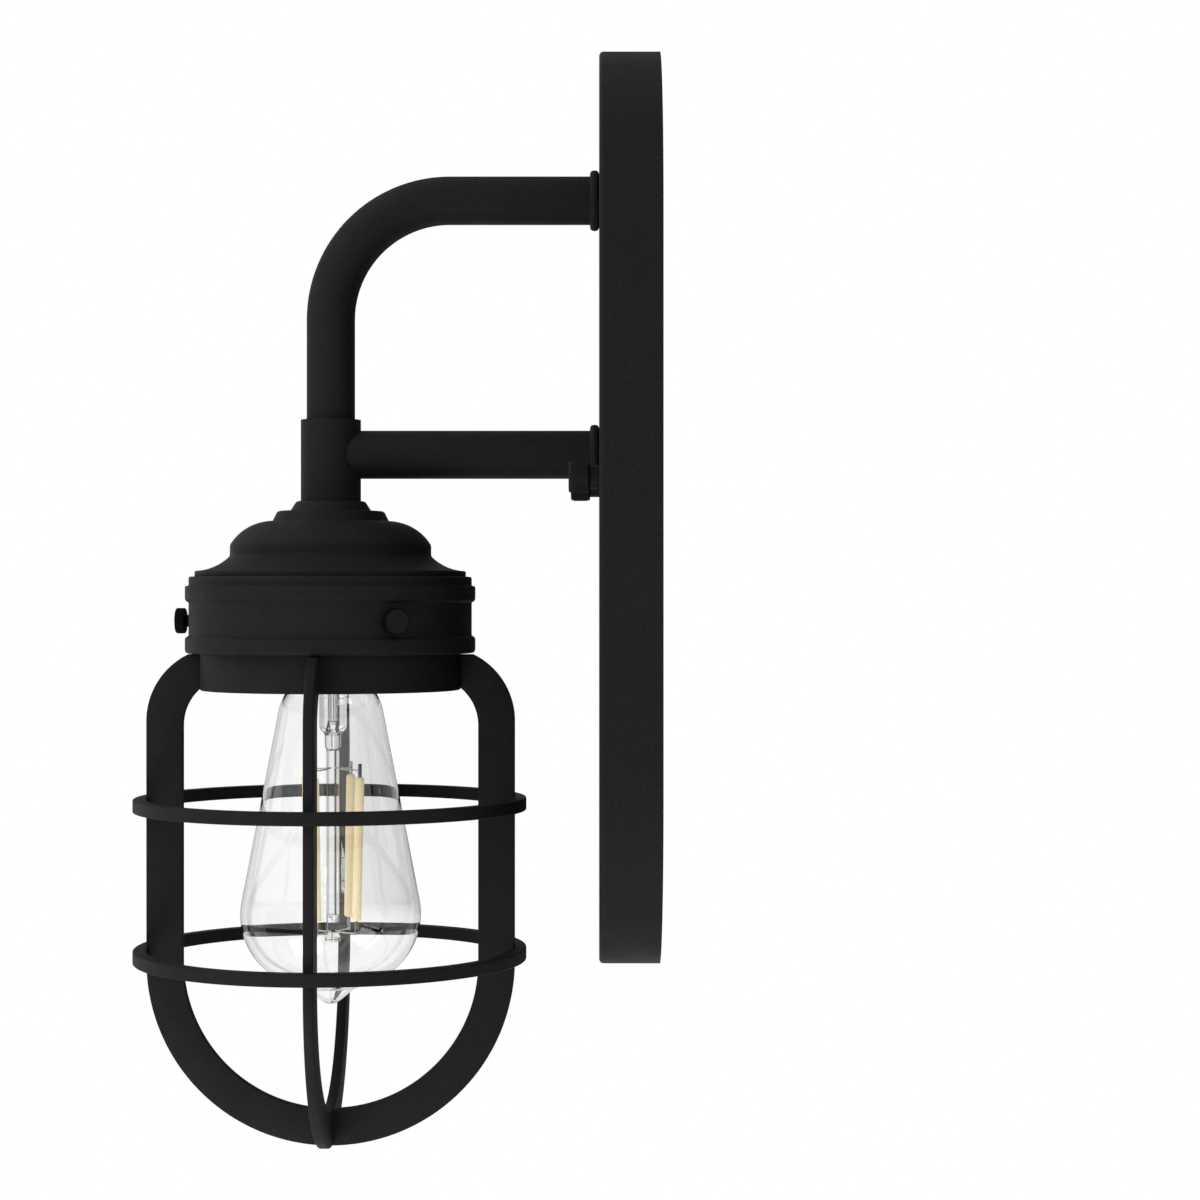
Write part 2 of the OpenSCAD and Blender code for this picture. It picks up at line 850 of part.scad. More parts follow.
// Room for the crossing bar in half the depth of the hoop
module cross_lap(half) {
    low = bottom_z - cage_r;
    translate([-bar_t / 2 - seat, -cage_r, half == "outer" ? low - past : low + bar_depth / 2 - seat])
        cube([bar_t + 2 * seat, 2 * cage_r, bar_depth / 2 + past]);
}

module cage_hoop_side() {
    color(powder_black)
        at_lamp_axis()
            rotate([0, 0, 90])
                difference() {
                    hoop();
                    cross_lap("inner");
                }
}

module cage_hoop_front() {
    color(powder_black)
        at_lamp_axis()
            difference() {
                hoop();
                cross_lap("outer");
            }
}

module cage_ring_upper() {
    color(powder_black) at_lamp_axis() ring_body(ring_upper_z, 0);
}

module cage_ring_lower() {
    color(powder_black) at_lamp_axis() ring_body(ring_lower_z, 0);
}

// Lamp holder: porcelain body with a screw shell and a sprung centre contact

shell_t = 0.4;
socket_bore_r = lamp_shell_r + apart;
shell_setback = 1;
shell_gap = 2;
contact_r = 4;
contact_strip_t = 0.6;
contact_strip = [11, 5, contact_strip_t];
terminal_depth = 4;
socket_screw_l = 6;
lead_x = (lead_d + 2 * screw_room) / 2;
terminal_x = lead_x + 2 * lead_bend + 2 * screw_room;

module socket_body() {
    edge = 1.5;
    color(porcelain)
        at_lamp_axis()
            difference() {
                rotate_extrude()
                    polygon([
                        [0, socket_top],
                        [socket_r - edge, socket_top],
                        [socket_r, socket_top - edge],
                        [socket_r, socket_low + edge],
                        [socket_r - edge, socket_low],
                        [0, socket_low],
                    ]);
                translate([0, 0, socket_low - past])
                    cylinder(r = socket_bore_r + shell_t + seat, h = socket_l - socket_floor + past);
                for (side = [-1, 1]) {
                    translate([side * terminal_x, 0, socket_top - terminal_depth])
                        cylinder(d = lead_d + 2 * slip, h = terminal_depth + past);
                    translate([side * (socket_r + past), 0, socket_screw_z])
                        rotate([0, -side * 90, 0])
                            cylinder(d = socket_screw_d + 2 * seat, h = socket_screw_l + past);
                }
            }
}

module socket_shell() {
    color(brass)
        at_lamp_axis()
            translate([0, 0, socket_low + shell_setback])
                pipe(socket_bore_r + shell_t, socket_bore_r, socket_l - socket_floor - shell_setback - shell_gap);
}

module socket_contact() {
    color(brass)
        at_lamp_axis()
            translate([0, 0, contact_seat - contact_t]) {
                cylinder(r = contact_r, h = contact_t);
                translate([0, -contact_strip[1] / 2, contact_t - contact_strip[2]]) cube(contact_strip);
            }
}

module socket_screws() {
    head_t = 1.8;
    color(zinc)
        at_lamp_axis()
            for (side = [-1, 1])
                translate([side * (bracket_leg_x + bracket_t), 0, socket_screw_z])
                    rotate([0, side * 90, 0]) {
                        cylinder(d = 1.9 * socket_screw_d, h = head_t);
                        translate([0, 0, past - bracket_t - socket_screw_l])
                            cylinder(d = socket_screw_d, h = bracket_t + socket_screw_l - past);
                    }
}

// Lamp: screw base, clear glass with a straight-sided taper, stem, wires and filaments

base_low = lamp_top - lamp_base_l;
insulator_h = 5;
insulator_in = 2;
end_contact_r = 4.6;
end_contact_t = 1.4;
cement_t = 0.7;
neck_in_base = 7;
neck_curve_in = 12;
neck_curve_low = 39.65;
belly_up = 31.8;
neck_c = [lamp_shell_r - neck_curve_in, lamp_top - neck_curve_low];
belly_c = [bulb_d / 2 - belly_curve_r, lamp_low + belly_up];
neck_r = lamp_shell_r - cement_t;
neck_top = base_low + neck_in_base;
end_cap_r = 9;
tip_cone_h = 2.6;
tip_r = 1.5;

// Half section of the bulb, filled to the axis; inset by its wall, the same curves give the inside
function glass_section(inset) =
    let (
        apart_c = neck_c - belly_c,
        taper = asin((belly_curve_r - neck_curve_r) / norm(apart_c)) - atan2(apart_c[0], apart_c[1]),
        end_c = [0, belly_c[1] + rise(end_curve_r - belly_curve_r, belly_c[0])],
        lean = atan2(belly_c[1] - end_c[1], belly_c[0]),
        neck_in = neck_curve_r - inset,
        end_in = end_curve_r - inset,
        tip_in_r = end_cap_r - inset / 2
    )
    concat(
        [[0, neck_top], [neck_r - inset, neck_top]],
        arc(neck_c, neck_in, acos((neck_r - inset + apart - neck_c[0]) / neck_in), taper, 14),
        arc(belly_c, belly_curve_r - inset, taper, lean, 28),
        arc(end_c, end_in, lean, -acos(tip_in_r / end_in), 12),
        [
            [tip_in_r / 2.3, lamp_low + tip_cone_h + inset],
            [tip_r * (1 - inset), lamp_low + inset],
            [0, lamp_low + inset],
        ]
    );

module lamp_glass() {
    color(clear_glass)
        at_lamp_axis()
            difference() {
                rotate_extrude() polygon(glass_section(0));
                rotate_extrude() polygon(glass_section(glass_wall));
                translate([0, 0, neck_top - past]) cylinder(r = neck_r - glass_wall, h = 2 * past);
            }
}

module lamp_contact() {
    color(zinc)
        at_lamp_axis()
            translate([0, 0, lamp_top])
                rotate_extrude()
                    polygon([
                        [0, 0],
                        [end_contact_r / 2, 0],
                        [end_contact_r, -end_contact_t / 2],
                        [end_contact_r, -end_contact_t],
                        [0, -end_contact_t],
                    ]);
}

module lamp_insulator() {
    lip = 0.6;
    color([0.07, 0.07, 0.08])
        at_lamp_axis()
            translate([0, 0, lamp_top - end_contact_t])
                rotate_extrude()
                    polygon([
                        [0, 0],
                        [end_contact_r + lip, 0],
                        [lamp_shell_r - insulator_in, end_contact_t - insulator_h],
                        [lamp_shell_r - insulator_in, -insulator_h],
                        [0, -insulator_h],
                    ]);
}

module lamp_shell() {
    wall = 0.4;
    shoulder = 1.5;
    top = lamp_top - insulator_h;
    color(zinc)
        at_lamp_axis()
            rotate_extrude()
                polygon([
                    [lamp_shell_r - insulator_in + seat, top],
                    [lamp_shell_r - shoulder / 2, top],
                    [lamp_shell_r, top - shoulder],
                    [lamp_shell_r, base_low],
                    [lamp_shell_r - wall, base_low],
                    [lamp_shell_r - wall, top - shoulder],
                    [lamp_shell_r - wall - shoulder / 2, top - wall],
                    [lamp_shell_r - insulator_in + seat, top - wall],
                ]);
}

stem_r = 4.8;
stem_wall = 1;
stem_flare = 5;
stem_flare_h = 7;
stem_l = 17;
pinch_l = 7.5;
pinch_taper = 3;
pinch_out = 0.6;
rod_r = 2.3;
rod_past = 7;
rod_foot = [2.7, 6];
stem_top = neck_top - stem_wall / 2;
stem_low = base_low - stem_l;
pinch_low = stem_low - pinch_l;
filament_drop = 33.2;
filament_top = base_low - filament_drop;
filament_low = filament_top - filament_l;
rod_low = filament_low - rod_past;
filament_top_r = 12.4;
filament_low_r = 10.2;
filament_turn = 36;
wire_r = 0.35;
wire_end = 0.2;

module lamp_stem() {
    neck_seat = neck_r - glass_wall - seat;
    flare_c = [stem_r + stem_flare, stem_top - stem_flare_h];
    pinch_r = rod_r + pinch_out;
    color(clear_glass)
        at_lamp_axis() {
            rotate_extrude()
                polygon(concat(
                    [[neck_seat, stem_top], [neck_seat, stem_top - stem_wall]],
                    arc(flare_c, stem_flare, 110, 180, 5),
                    [[stem_r, stem_low], [pinch_r, stem_low - pinch_taper], [pinch_r, pinch_low]],
                    [[0, pinch_low], [0, stem_low], [stem_r - stem_wall, stem_low + stem_wall]],
                    arc(flare_c, stem_flare + stem_wall, 180, 110, 5)
                ));
            translate([0, 0, rod_low]) cylinder(r = rod_r, h = pinch_low - rod_low);
            translate([0, 0, rod_low + stem_wall]) cylinder(r = rod_foot[0], h = rod_foot[1]);
        }
}

module at_filaments() {
    for (i = [0:3]) rotate([0, 0, 90 - filament_turn + i * 90]) children();
}

module lamp_wires() {
    top_z = filament_top + 2.3;
    low_z = filament_low - 3;
    color(zinc)
        at_lamp_axis()
            at_filaments() {
                translate([rod_r + seat, 0, top_z])
                    rotate([0, 90, 0]) cylinder(r = wire_r, h = filament_top_r - rod_r);
                translate([filament_top_r, 0, filament_top + wire_end])
                    cylinder(r = wire_r, h = top_z - filament_top + wire_r - wire_end);
                translate([rod_foot[0] + seat, 0, low_z])
                    rotate([0, 90, 0]) cylinder(r = wire_r, h = filament_low_r - rod_foot[0]);
                translate([filament_low_r, 0, low_z - wire_r])
                    cylinder(r = wire_r, h = filament_low - low_z + wire_r - wire_end);
            }
}

module lamp_filaments() {
    tilt = atan2(filament_top_r - filament_low_r, filament_l);
    color([0.95, 0.85, 0.6])
        at_lamp_axis()
            at_filaments()
                translate([filament_low_r, 0, filament_low])
                    rotate([0, tilt, 0]) cylinder(d = filament_d, h = filament_l / cos(tilt));
}

module lamp_driver() {
    board = [15, 1.2, 12];
    can = [3.3, 8];
    sink = 0.1;
    top = lamp_top - insulator_h - end_contact_t;
    color([0.15, 0.35, 0.2])
        at_lamp_axis() {
            translate([-board[0] / 2, -board[1] / 2, top - board[2] - seat]) cube(board);
            translate([0, board[1] / 2 + can[0] - sink, top - (board[2] + can[1]) / 2])
                cylinder(r = can[0], h = can[1]);
        }
}

// Leads: from the lamp holder up through the tee, along the lower arm and into the pan

pan_run_y = -8.3;
connector_x = terminal_x;
connector_top = -38;
connector_l = 18;
connector_grip = 6;
connector_r = 5.3;
connector_tip_r = 2.4;
ground_lead_x = 28;
ground_bend = 2.4;

module lead(side) {
    low_jog = head_z - head_nipple_low - lead_bend - past;
    pan_jog = connector_top + connector_grip + lead_bend;
    bent_wire(
        [
            [side * terminal_x, -reach, socket_top - terminal_depth + seat],
            [side * terminal_x, -reach, low_jog],
            [side * lead_x, -reach, low_jog],
            [side * lead_x, -reach, lower_arm_z],
            [side * lead_x, pan_run_y, lower_arm_z],
            [side * lead_x, pan_run_y, pan_jog],
            [side * connector_x, pan_run_y, pan_jog],
            [side * connector_x, pan_run_y, connector_top - connector_grip],
        ],
        lead_d / 2, lead_bend
    );
}

module live_lead() {
    color([0.08, 0.08, 0.08]) lead(1);
}

module neutral_lead() {
    color([0.93, 0.93, 0.92]) lead(-1);
}

module ground_lead() {
    z = (ground_d + ground_lead_d) / 2 + 2 * seat;
    y = -strap_t - ground_lead_d / 2 - seat;
    color([0.2, 0.5, 0.27])
        bent_wire(
            [
                [ground_bend - ground_x, y, z],
                [-ground_lead_x, y, z],
                [-ground_lead_x, pan_run_y, z],
                [-ground_lead_x, pan_run_y, connector_top - connector_grip],
            ],
            ground_lead_d / 2, ground_bend
        );
}

module wire_connector(bore_r) {
    skirt = 3;
    step = 0.8;
    rotate_extrude()
        polygon([
            [bore_r, 0],
            [connector_r, 0],
            [connector_r, -skirt],
            [connector_r - step, -skirt - step],
            [connector_tip_r + step, step - connector_l],
            [connector_tip_r, -connector_l],
            [0, -connector_l],
            [0, -connector_grip - step],
            [bore_r, -connector_grip - step],
        ]);
}

module wire_connectors() {
    color([0.85, 0.45, 0.1])
        translate([0, pan_run_y, connector_top]) {
            for (side = [-1, 1]) translate([side * connector_x, 0, 0]) wire_connector(lead_d / 2 + seat);
            translate([-ground_lead_x, 0, 0]) wire_connector(ground_lead_d / 2 + seat);
        }
}

backplate();
mounting_strap();
mounting_studs();
stud_nuts();
ground_screw();
cap_nut_left();
cap_nut_right();
upper_arm();
lower_arm();
tee_sleeve();
upper_arm_collar();
lower_arm_collar();
arm_nipples();
arm_washers();
arm_nuts();
stem_bush();
head_nipple();
head_nut();
canopy_cap();
socket_bracket();
cage_holder();
holder_screws();
thumb_screw_front();
thumb_screw_left();
thumb_screw_right();
cage_collar();
cage_hoop_side();
cage_hoop_front();
cage_ring_upper();
cage_ring_lower();
socket_body();
socket_shell();
socket_contact();
socket_screws();
lamp_contact();
lamp_insulator();
lamp_shell();
lamp_glass();
lamp_stem();
lamp_wires();
lamp_filaments();
lamp_driver();
live_lead();
neutral_lead();
ground_lead();
wire_connectors();
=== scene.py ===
"""Looks of a caged wall light: finishes and fine forms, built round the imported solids.

Sizes in the classes are millimetres. Heights count from the mounting studs, as in the part's source,
and the workshop turns them into metres.
"""

from __future__ import annotations

import json
import logging
import math
from collections.abc import Callable
from dataclasses import dataclass, field
from enum import Enum
from typing import ClassVar

import bmesh
import bpy
from mathutils import Matrix, Vector

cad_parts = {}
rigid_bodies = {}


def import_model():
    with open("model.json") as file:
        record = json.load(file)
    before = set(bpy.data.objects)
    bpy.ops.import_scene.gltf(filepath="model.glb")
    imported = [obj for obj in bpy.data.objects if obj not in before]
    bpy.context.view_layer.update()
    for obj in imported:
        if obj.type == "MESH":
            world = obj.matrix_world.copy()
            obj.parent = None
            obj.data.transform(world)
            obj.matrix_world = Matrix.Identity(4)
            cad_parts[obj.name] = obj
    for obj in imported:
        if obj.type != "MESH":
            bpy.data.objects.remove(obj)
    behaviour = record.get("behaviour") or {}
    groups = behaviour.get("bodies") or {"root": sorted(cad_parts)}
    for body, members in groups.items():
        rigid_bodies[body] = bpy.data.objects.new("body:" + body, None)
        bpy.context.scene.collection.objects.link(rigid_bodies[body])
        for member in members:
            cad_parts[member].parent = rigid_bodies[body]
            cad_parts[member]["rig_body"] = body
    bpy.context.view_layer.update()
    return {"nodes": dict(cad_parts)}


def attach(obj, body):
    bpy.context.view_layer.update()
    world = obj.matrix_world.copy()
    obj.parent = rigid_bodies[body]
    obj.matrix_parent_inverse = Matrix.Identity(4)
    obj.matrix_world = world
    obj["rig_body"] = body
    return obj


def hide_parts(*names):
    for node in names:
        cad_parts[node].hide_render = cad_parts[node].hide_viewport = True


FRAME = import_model()
SLOTS = {name: obj.data.materials[0].name.split(".")[0] for name, obj in FRAME["nodes"].items()}

log = logging.getLogger("wall_light")

Flat = tuple[float, float]
Corner = tuple[float, float, float]
Point = tuple[float, float, float]
Colour = tuple[float, float, float]
Socket = bpy.types.NodeSocket
Sockets = bpy.types.bpy_prop_collection
Part = tuple[bpy.types.Mesh, Matrix]
Chooser = Callable[[bpy.types.MeshPolygon], bool]

MM = 0.001
ON_AXIS = 1e-4
WELD_M = 2e-6
FLAT_ENOUGH = math.radians(0.3)
EASED_FROM = math.radians(40)
REACH = 117.4
STUDS = 69.85 / 2
PLATE_FRONT = 21.5
LAMP_PITCH = 3.629


class Meet(Enum):
    """How one solid is put to another."""

    ADDED = "UNION"
    CUT_OUT = "DIFFERENCE"


class Kind(Enum):
    """What an input of a rule takes."""

    NUMBER = "Float"
    COUNT = "Int"


# Points and forms


def arc(centre: Flat, radius: float, start: float, end: float, steps: int) -> list[Flat]:
    """Gives points along an arc.

    Args:
        centre: The arc's centre.
        radius: Its radius.
        start: First angle in degrees, from the first axis.
        end: Last angle in degrees.
        steps: Number of steps between them.

    Returns:
        The points, both ends included.
    """
    angles = [math.radians(start + (end - start) * i / steps) for i in range(steps + 1)]
    return [(centre[0] + radius * math.cos(a), centre[1] + radius * math.sin(a)) for a in angles]


def plain(points: list[Flat]) -> list[Corner]:
    """Gives the points as corners that stay sharp."""
    return [(x, y, 0.0) for x, y in points]


def rounded(corners: list[Corner], steps: int = 5, closed: bool = True) -> list[Flat]:
    """Rounds the corners of an outline.

    Args:
        corners: Each corner with the length that its rounding takes from both sides.
        steps: Steps of each rounding.
        closed: Whether the last corner joins the first.

    Returns:
        The outline's points.
    """
    out: list[Flat] = []
    count = len(corners)
    for i, (x, y, take) in enumerate(corners):
        at_end = not closed and i in (0, count - 1)
        if take <= 0 or at_end:
            out.append((x, y))
            continue
        here = Vector((x, y))
        before = Vector(corners[i - 1][:2]) - here
        after = Vector(corners[(i + 1) % count][:2]) - here
        start = here + before.normalized() * min(take, before.length * 0.49)
        end = here + after.normalized() * min(take, after.length * 0.49)
        for k in range(steps + 1):
            t = k / steps
            p = start * (1 - t) ** 2 + here * 2 * t * (1 - t) + end * t * t
            out.append((p.x, p.y))
    return out


@dataclass
class Form:
    """Points and faces of a piece in the making, in millimetres. Without faces it is a path."""

    points: list[Point] = field(default_factory=list)
    faces: list[tuple[int, ...]] = field(default_factory=list)

    def placed(self, matrix: Matrix) -> Form:
        """Gives the form moved by a matrix."""
        return Form([tuple(matrix @ Vector(p)) for p in self.points], list(self.faces))

    def mesh(self, name: str) -> bpy.types.Mesh:
        """Gives the form as a mesh in metres."""
        path = [] if self.faces else [(i, i + 1) for i in range(len(self.points) - 1)]
        mesh = bpy.data.meshes.new(name)
        mesh.from_pydata([tuple(c * MM for c in p) for p in self.points], path, self.faces)
        return mesh


def guarded(section: list[Flat], closed: bool, long: float = 1.6, edge: float = 0.2) -> list[Flat]:
    """Adds a point near both ends of each long side, so that smooth shading stays true along it.

    Args:
        section: The outline.
        closed: Whether its last point joins its first.
        long: Length from which a side is long.
        edge: Distance of the new points from the side's ends.

    Returns:
        The outline with the new points.
    """
    out: list[Flat] = []
    ends = section[1:] + (section[:1] if closed else [])
    for (x, z), (to_x, to_z) in zip(section, ends):
        out.append((x, z))
        length = math.hypot(to_x - x, to_z - z)
        if length > long:
            for t in (edge / length, 1 - edge / length):
                out.append((x + (to_x - x) * t, z + (to_z - z) * t))
    return out if closed else out + section[-1:]


def turned(section: list[Flat], steps: int = 96) -> Form:
    """Turns a section about the vertical axis.

    Args:
        section: Points (radius, height). Where both ends lie on the axis they become poles;
            otherwise the section closes on itself.
        steps: Steps round the axis.

    Returns:
        The closed form.
    """
    points: list[Point] = []
    rings: list[list[int]] = []
    for r, z in guarded(section, max(section[0][0], section[-1][0]) > ON_AXIS):
        spokes = 1 if r < ON_AXIS else steps
        rings.append(list(range(len(points), len(points) + spokes)))
        angles = [2 * math.pi * i / spokes for i in range(spokes)]
        points += [(r * math.cos(a), r * math.sin(a), z) for a in angles]
    pairs = list(zip(rings, rings[1:]))
    if len(rings[0]) > 1 or len(rings[-1]) > 1:
        pairs.append((rings[-1], rings[0]))
    faces: list[tuple[int, ...]] = []
    for low, high in pairs:
        for i in range(steps):
            j = i + 1
            face = (low[i % len(low)], low[j % len(low)], high[j % len(high)], high[i % len(high)])
            faces.append(tuple(dict.fromkeys(face)))
    return Form(points, faces)


def opened(section: list[Flat]) -> list[Flat]:
    """Reorders a closed outline so that it starts and ends on the axis."""
    start = next(i for i, (r, _) in enumerate(section) if r < ON_AXIS) + 1
    return section[start:] + section[:start]


def sleeve(front: float, back: float, start: float, end: float, rows: int) -> list[Flat]:
    """Gives the outline of a thin wall in even rows, for rolling a thread into it.

    Args:
        front: Radius of the side that comes first.
        back: Radius of the other side.
        start: Height of its first end.
        end: Height of its other end.
        rows: Number of rows.

    Returns:
        The points, out along the front and home along the back.
    """
    heights = [start + (end - start) * i / rows for i in range(rows + 1)]
    return [(front, z) for z in heights] + [(back, z) for z in reversed(heights)]


def upright(x: float = 0.0, y: float = -REACH, z: float = 0.0) -> Matrix:
    """Gives the move to a place, on the lamp's axis unless told otherwise."""
    return Matrix.Translation((x, y, z))


def aimed(origin: Point, way: Point) -> Matrix:
    """Gives the move that stands a form at a point with its axis along a way."""
    turn = Vector(way).to_track_quat("Z", "Y").to_matrix().to_4x4()
    return Matrix.Translation(origin) @ turn


def from_wall(x: float, z: float, out: float) -> Matrix:
    """Gives the move that stands a form some way off the wall, with its axis away from the wall."""
    return aimed((x, -out, z), (0, -1, 0))


# Node trees


class Bench:
    """Short hand for adding nodes to a tree."""

    def __init__(self, tree: bpy.types.NodeTree) -> None:
        """Keeps the tree."""
        self.tree = tree

    def add(self, kind: str, feeds: dict | None = None, **settings: object) -> bpy.types.Node:
        """Adds a node.

        Args:
            kind: The node's type.
            feeds: Input names or numbers with a value or a socket for each.
            **settings: The node's own settings.

        Returns:
            The node.
        """
        node = self.tree.nodes.new(kind)
        for name, value in settings.items():
            setattr(node, name, value)
        for name, value in (feeds or {}).items():
            if isinstance(value, Socket):
                self.tree.links.new(value, node.inputs[name])
            else:
                node.inputs[name].default_value = value
        return node

    def sum_of(self, kind: str, *values: Socket | float) -> Socket:
        """Adds a Math node of the kind and gives its output."""
        return self.add("ShaderNodeMath", dict(enumerate(values)), operation=kind).outputs[0]

    def ramp(self, value: Socket, start: float, end: float, low: float, high: float) -> Socket:
        """Turns a value into a smooth run between two levels.

        Args:
            value: The value.
            start: Where the run starts.
            end: Where it ends.
            low: The level up to its start.
            high: The level from its end.

        Returns:
            The level.
        """
        feeds = {0: value, 1: start, 2: end, 3: low, 4: high}
        return self.add("ShaderNodeMapRange", feeds, interpolation_type="SMOOTHSTEP").outputs[0]


class Pattern(Bench):
    """A material's tree, with the patterns that finishes are made from."""

    def place(self, stretch: Point = (1.0, 1.0, 1.0)) -> Socket:
        """Gives object coordinates, scaled along each axis."""
        spot = self.add("ShaderNodeTexCoord").outputs["Object"]
        return self.add("ShaderNodeMapping", {"Vector": spot, "Scale": stretch}).outputs[0]

    def cloud(self, size: float, detail: float = 3.0, stretch: Point = (1.0, 1.0, 1.0)) -> Socket:
        """Gives noise between 0 and 1, with patches of about size millimetres."""
        feeds = {"Vector": self.place(stretch), "Scale": 1 / (size * MM), "Detail": detail}
        return self.add("ShaderNodeTexNoise", feeds).outputs[0]

    def span(self, value: Socket, low: float, high: float, edge: float = 0.3) -> Socket:
        """Maps noise onto a range, and clips its rare ends."""
        feeds = {0: value, 1: edge, 2: 1 - edge, 3: low, 4: high}
        return self.add("ShaderNodeMapRange", feeds).outputs[0]

    def blend(self, share: Socket, first: Colour, second: Colour) -> Socket:
        """Mixes two colours by a share."""
        feeds = {0: share, 6: (*first, 1.0), 7: (*second, 1.0)}
        return self.add("ShaderNodeMix", feeds, data_type="RGBA").outputs[2]


@dataclass(frozen=True)
class Finish:
    """A surface finish: two shades, a range of gloss and a relief, each with its own scale."""

    name: str
    shade: Colour
    other: Colour
    patch: float = 12.0
    gloss: Flat = (0.4, 0.5)
    relief: float = 0.02
    grain: float = 1.0
    sockets: tuple[tuple[str, object], ...] = ()

    def colour(self, pattern: Pattern) -> Socket:
        """Mixes the two shades in soft patches."""
        return pattern.blend(pattern.span(pattern.cloud(self.patch), 0.0, 1.0), self.shade, self.other)

    def roughness(self, pattern: Pattern) -> Socket:
        """Varies the gloss in patches of its own."""
        return pattern.span(pattern.cloud(self.patch * 0.6), *self.gloss)

    def height(self, pattern: Pattern) -> Socket:
        """Gives the relief, between 0 and 1."""
        return pattern.cloud(self.grain)

    def make(self) -> bpy.types.Material:
        """Builds the material.

        Returns:
            The material, with a Principled shader.
        """
        material = bpy.data.materials.new(self.name)
        material.use_nodes = True
        material.node_tree.nodes.clear()
        pattern = Pattern(material.node_tree)
        bump = {"Height": self.height(pattern), "Strength": 1.0, "Distance": self.relief * MM}
        feeds = {
            "Base Color": self.colour(pattern),
            "Roughness": self.roughness(pattern),
            "Normal": pattern.add("ShaderNodeBump", bump).outputs[0],
            **dict(self.sockets),
        }
        shader = pattern.add("ShaderNodeBsdfPrincipled", feeds)
        pattern.add("ShaderNodeOutputMaterial", {"Surface": shader.outputs[0]})
        return material


@dataclass(frozen=True)
class PowderCoat(Finish):
    """Matte powder coat: a shallow orange peel with a finer grain in it."""

    peel: float = 1.3
    speck: float = 0.4

    def colour(self, pattern: Pattern) -> Socket:
        """Lets fine specks of the second shade show all over, more in some patches."""
        patches = pattern.span(pattern.cloud(self.patch), 0.0, 0.15)
        specks = pattern.span(pattern.cloud(self.speck * 2, 2.0), 0.0, 0.85)
        return pattern.blend(pattern.sum_of("ADD", patches, specks), self.shade, self.other)

    def height(self, pattern: Pattern) -> Socket:
        """Adds the grain to the peel."""
        peel = pattern.cloud(self.peel, 1.0)
        grain = pattern.cloud(self.speck, 2.0)
        return pattern.sum_of("MULTIPLY_ADD", grain, 0.35, peel)


@dataclass(frozen=True)
class Plating(Finish):
    """Plated or bare metal, with faint tool marks along one axis."""

    marks: Point = (1.0, 1.0, 14.0)

    def height(self, pattern: Pattern) -> Socket:
        """Lays fine marks over the metal's slight waves."""
        marks = pattern.cloud(self.grain, 4.0, self.marks)
        return pattern.sum_of("MULTIPLY_ADD", marks, 0.5, pattern.cloud(self.grain * 4))


@dataclass(frozen=True)
class DrawnGlass(Finish):
    """Blown glass, with the long faint waves that drawing it leaves."""

    marks: Point = (1.0, 1.0, 0.12)

    def height(self, pattern: Pattern) -> Socket:
        """Runs the waves down the glass."""
        return pattern.cloud(self.grain, 1.0, self.marks)


@dataclass(frozen=True)
class Phosphor(Finish):
    """Silicone full of phosphor grains over a row of chips."""

    pitch: float = 1.7

    def colour(self, pattern: Pattern) -> Socket:
        """Darkens the coat in grains and lets the row of chips show through."""
        feeds = {"Vector": pattern.place(), "Scale": 1 / (self.patch * MM)}
        cells = pattern.add("ShaderNodeTexVoronoi", feeds).outputs[0]
        spot = pattern.add("ShaderNodeSeparateXYZ", {0: pattern.place()}).outputs[2]
        wave = pattern.sum_of("SINE", pattern.sum_of("MULTIPLY", spot, 2 * math.pi / (self.pitch * MM)))
        chips = pattern.span(wave, 0.0, 0.3, 0.2)
        share = pattern.sum_of("ADD", pattern.sum_of("MULTIPLY", cells, 0.7), chips)
        return pattern.blend(share, self.shade, self.other)


@dataclass(frozen=True)
class Board(Finish):
    """Circuit board: copper tracks under a green mask."""

    def colour(self, pattern: Pattern) -> Socket:
        """Draws the tracks as narrow bands of a grid."""
        feeds = {"Vector": pattern.place(), "Scale": 1 / (self.patch * MM)}
        tracks = pattern.add("ShaderNodeTexVoronoi", feeds, distance="MANHATTAN").outputs[0]
        return pattern.blend(pattern.span(tracks, 0.0, 1.0, 0.42), self.shade, self.other)


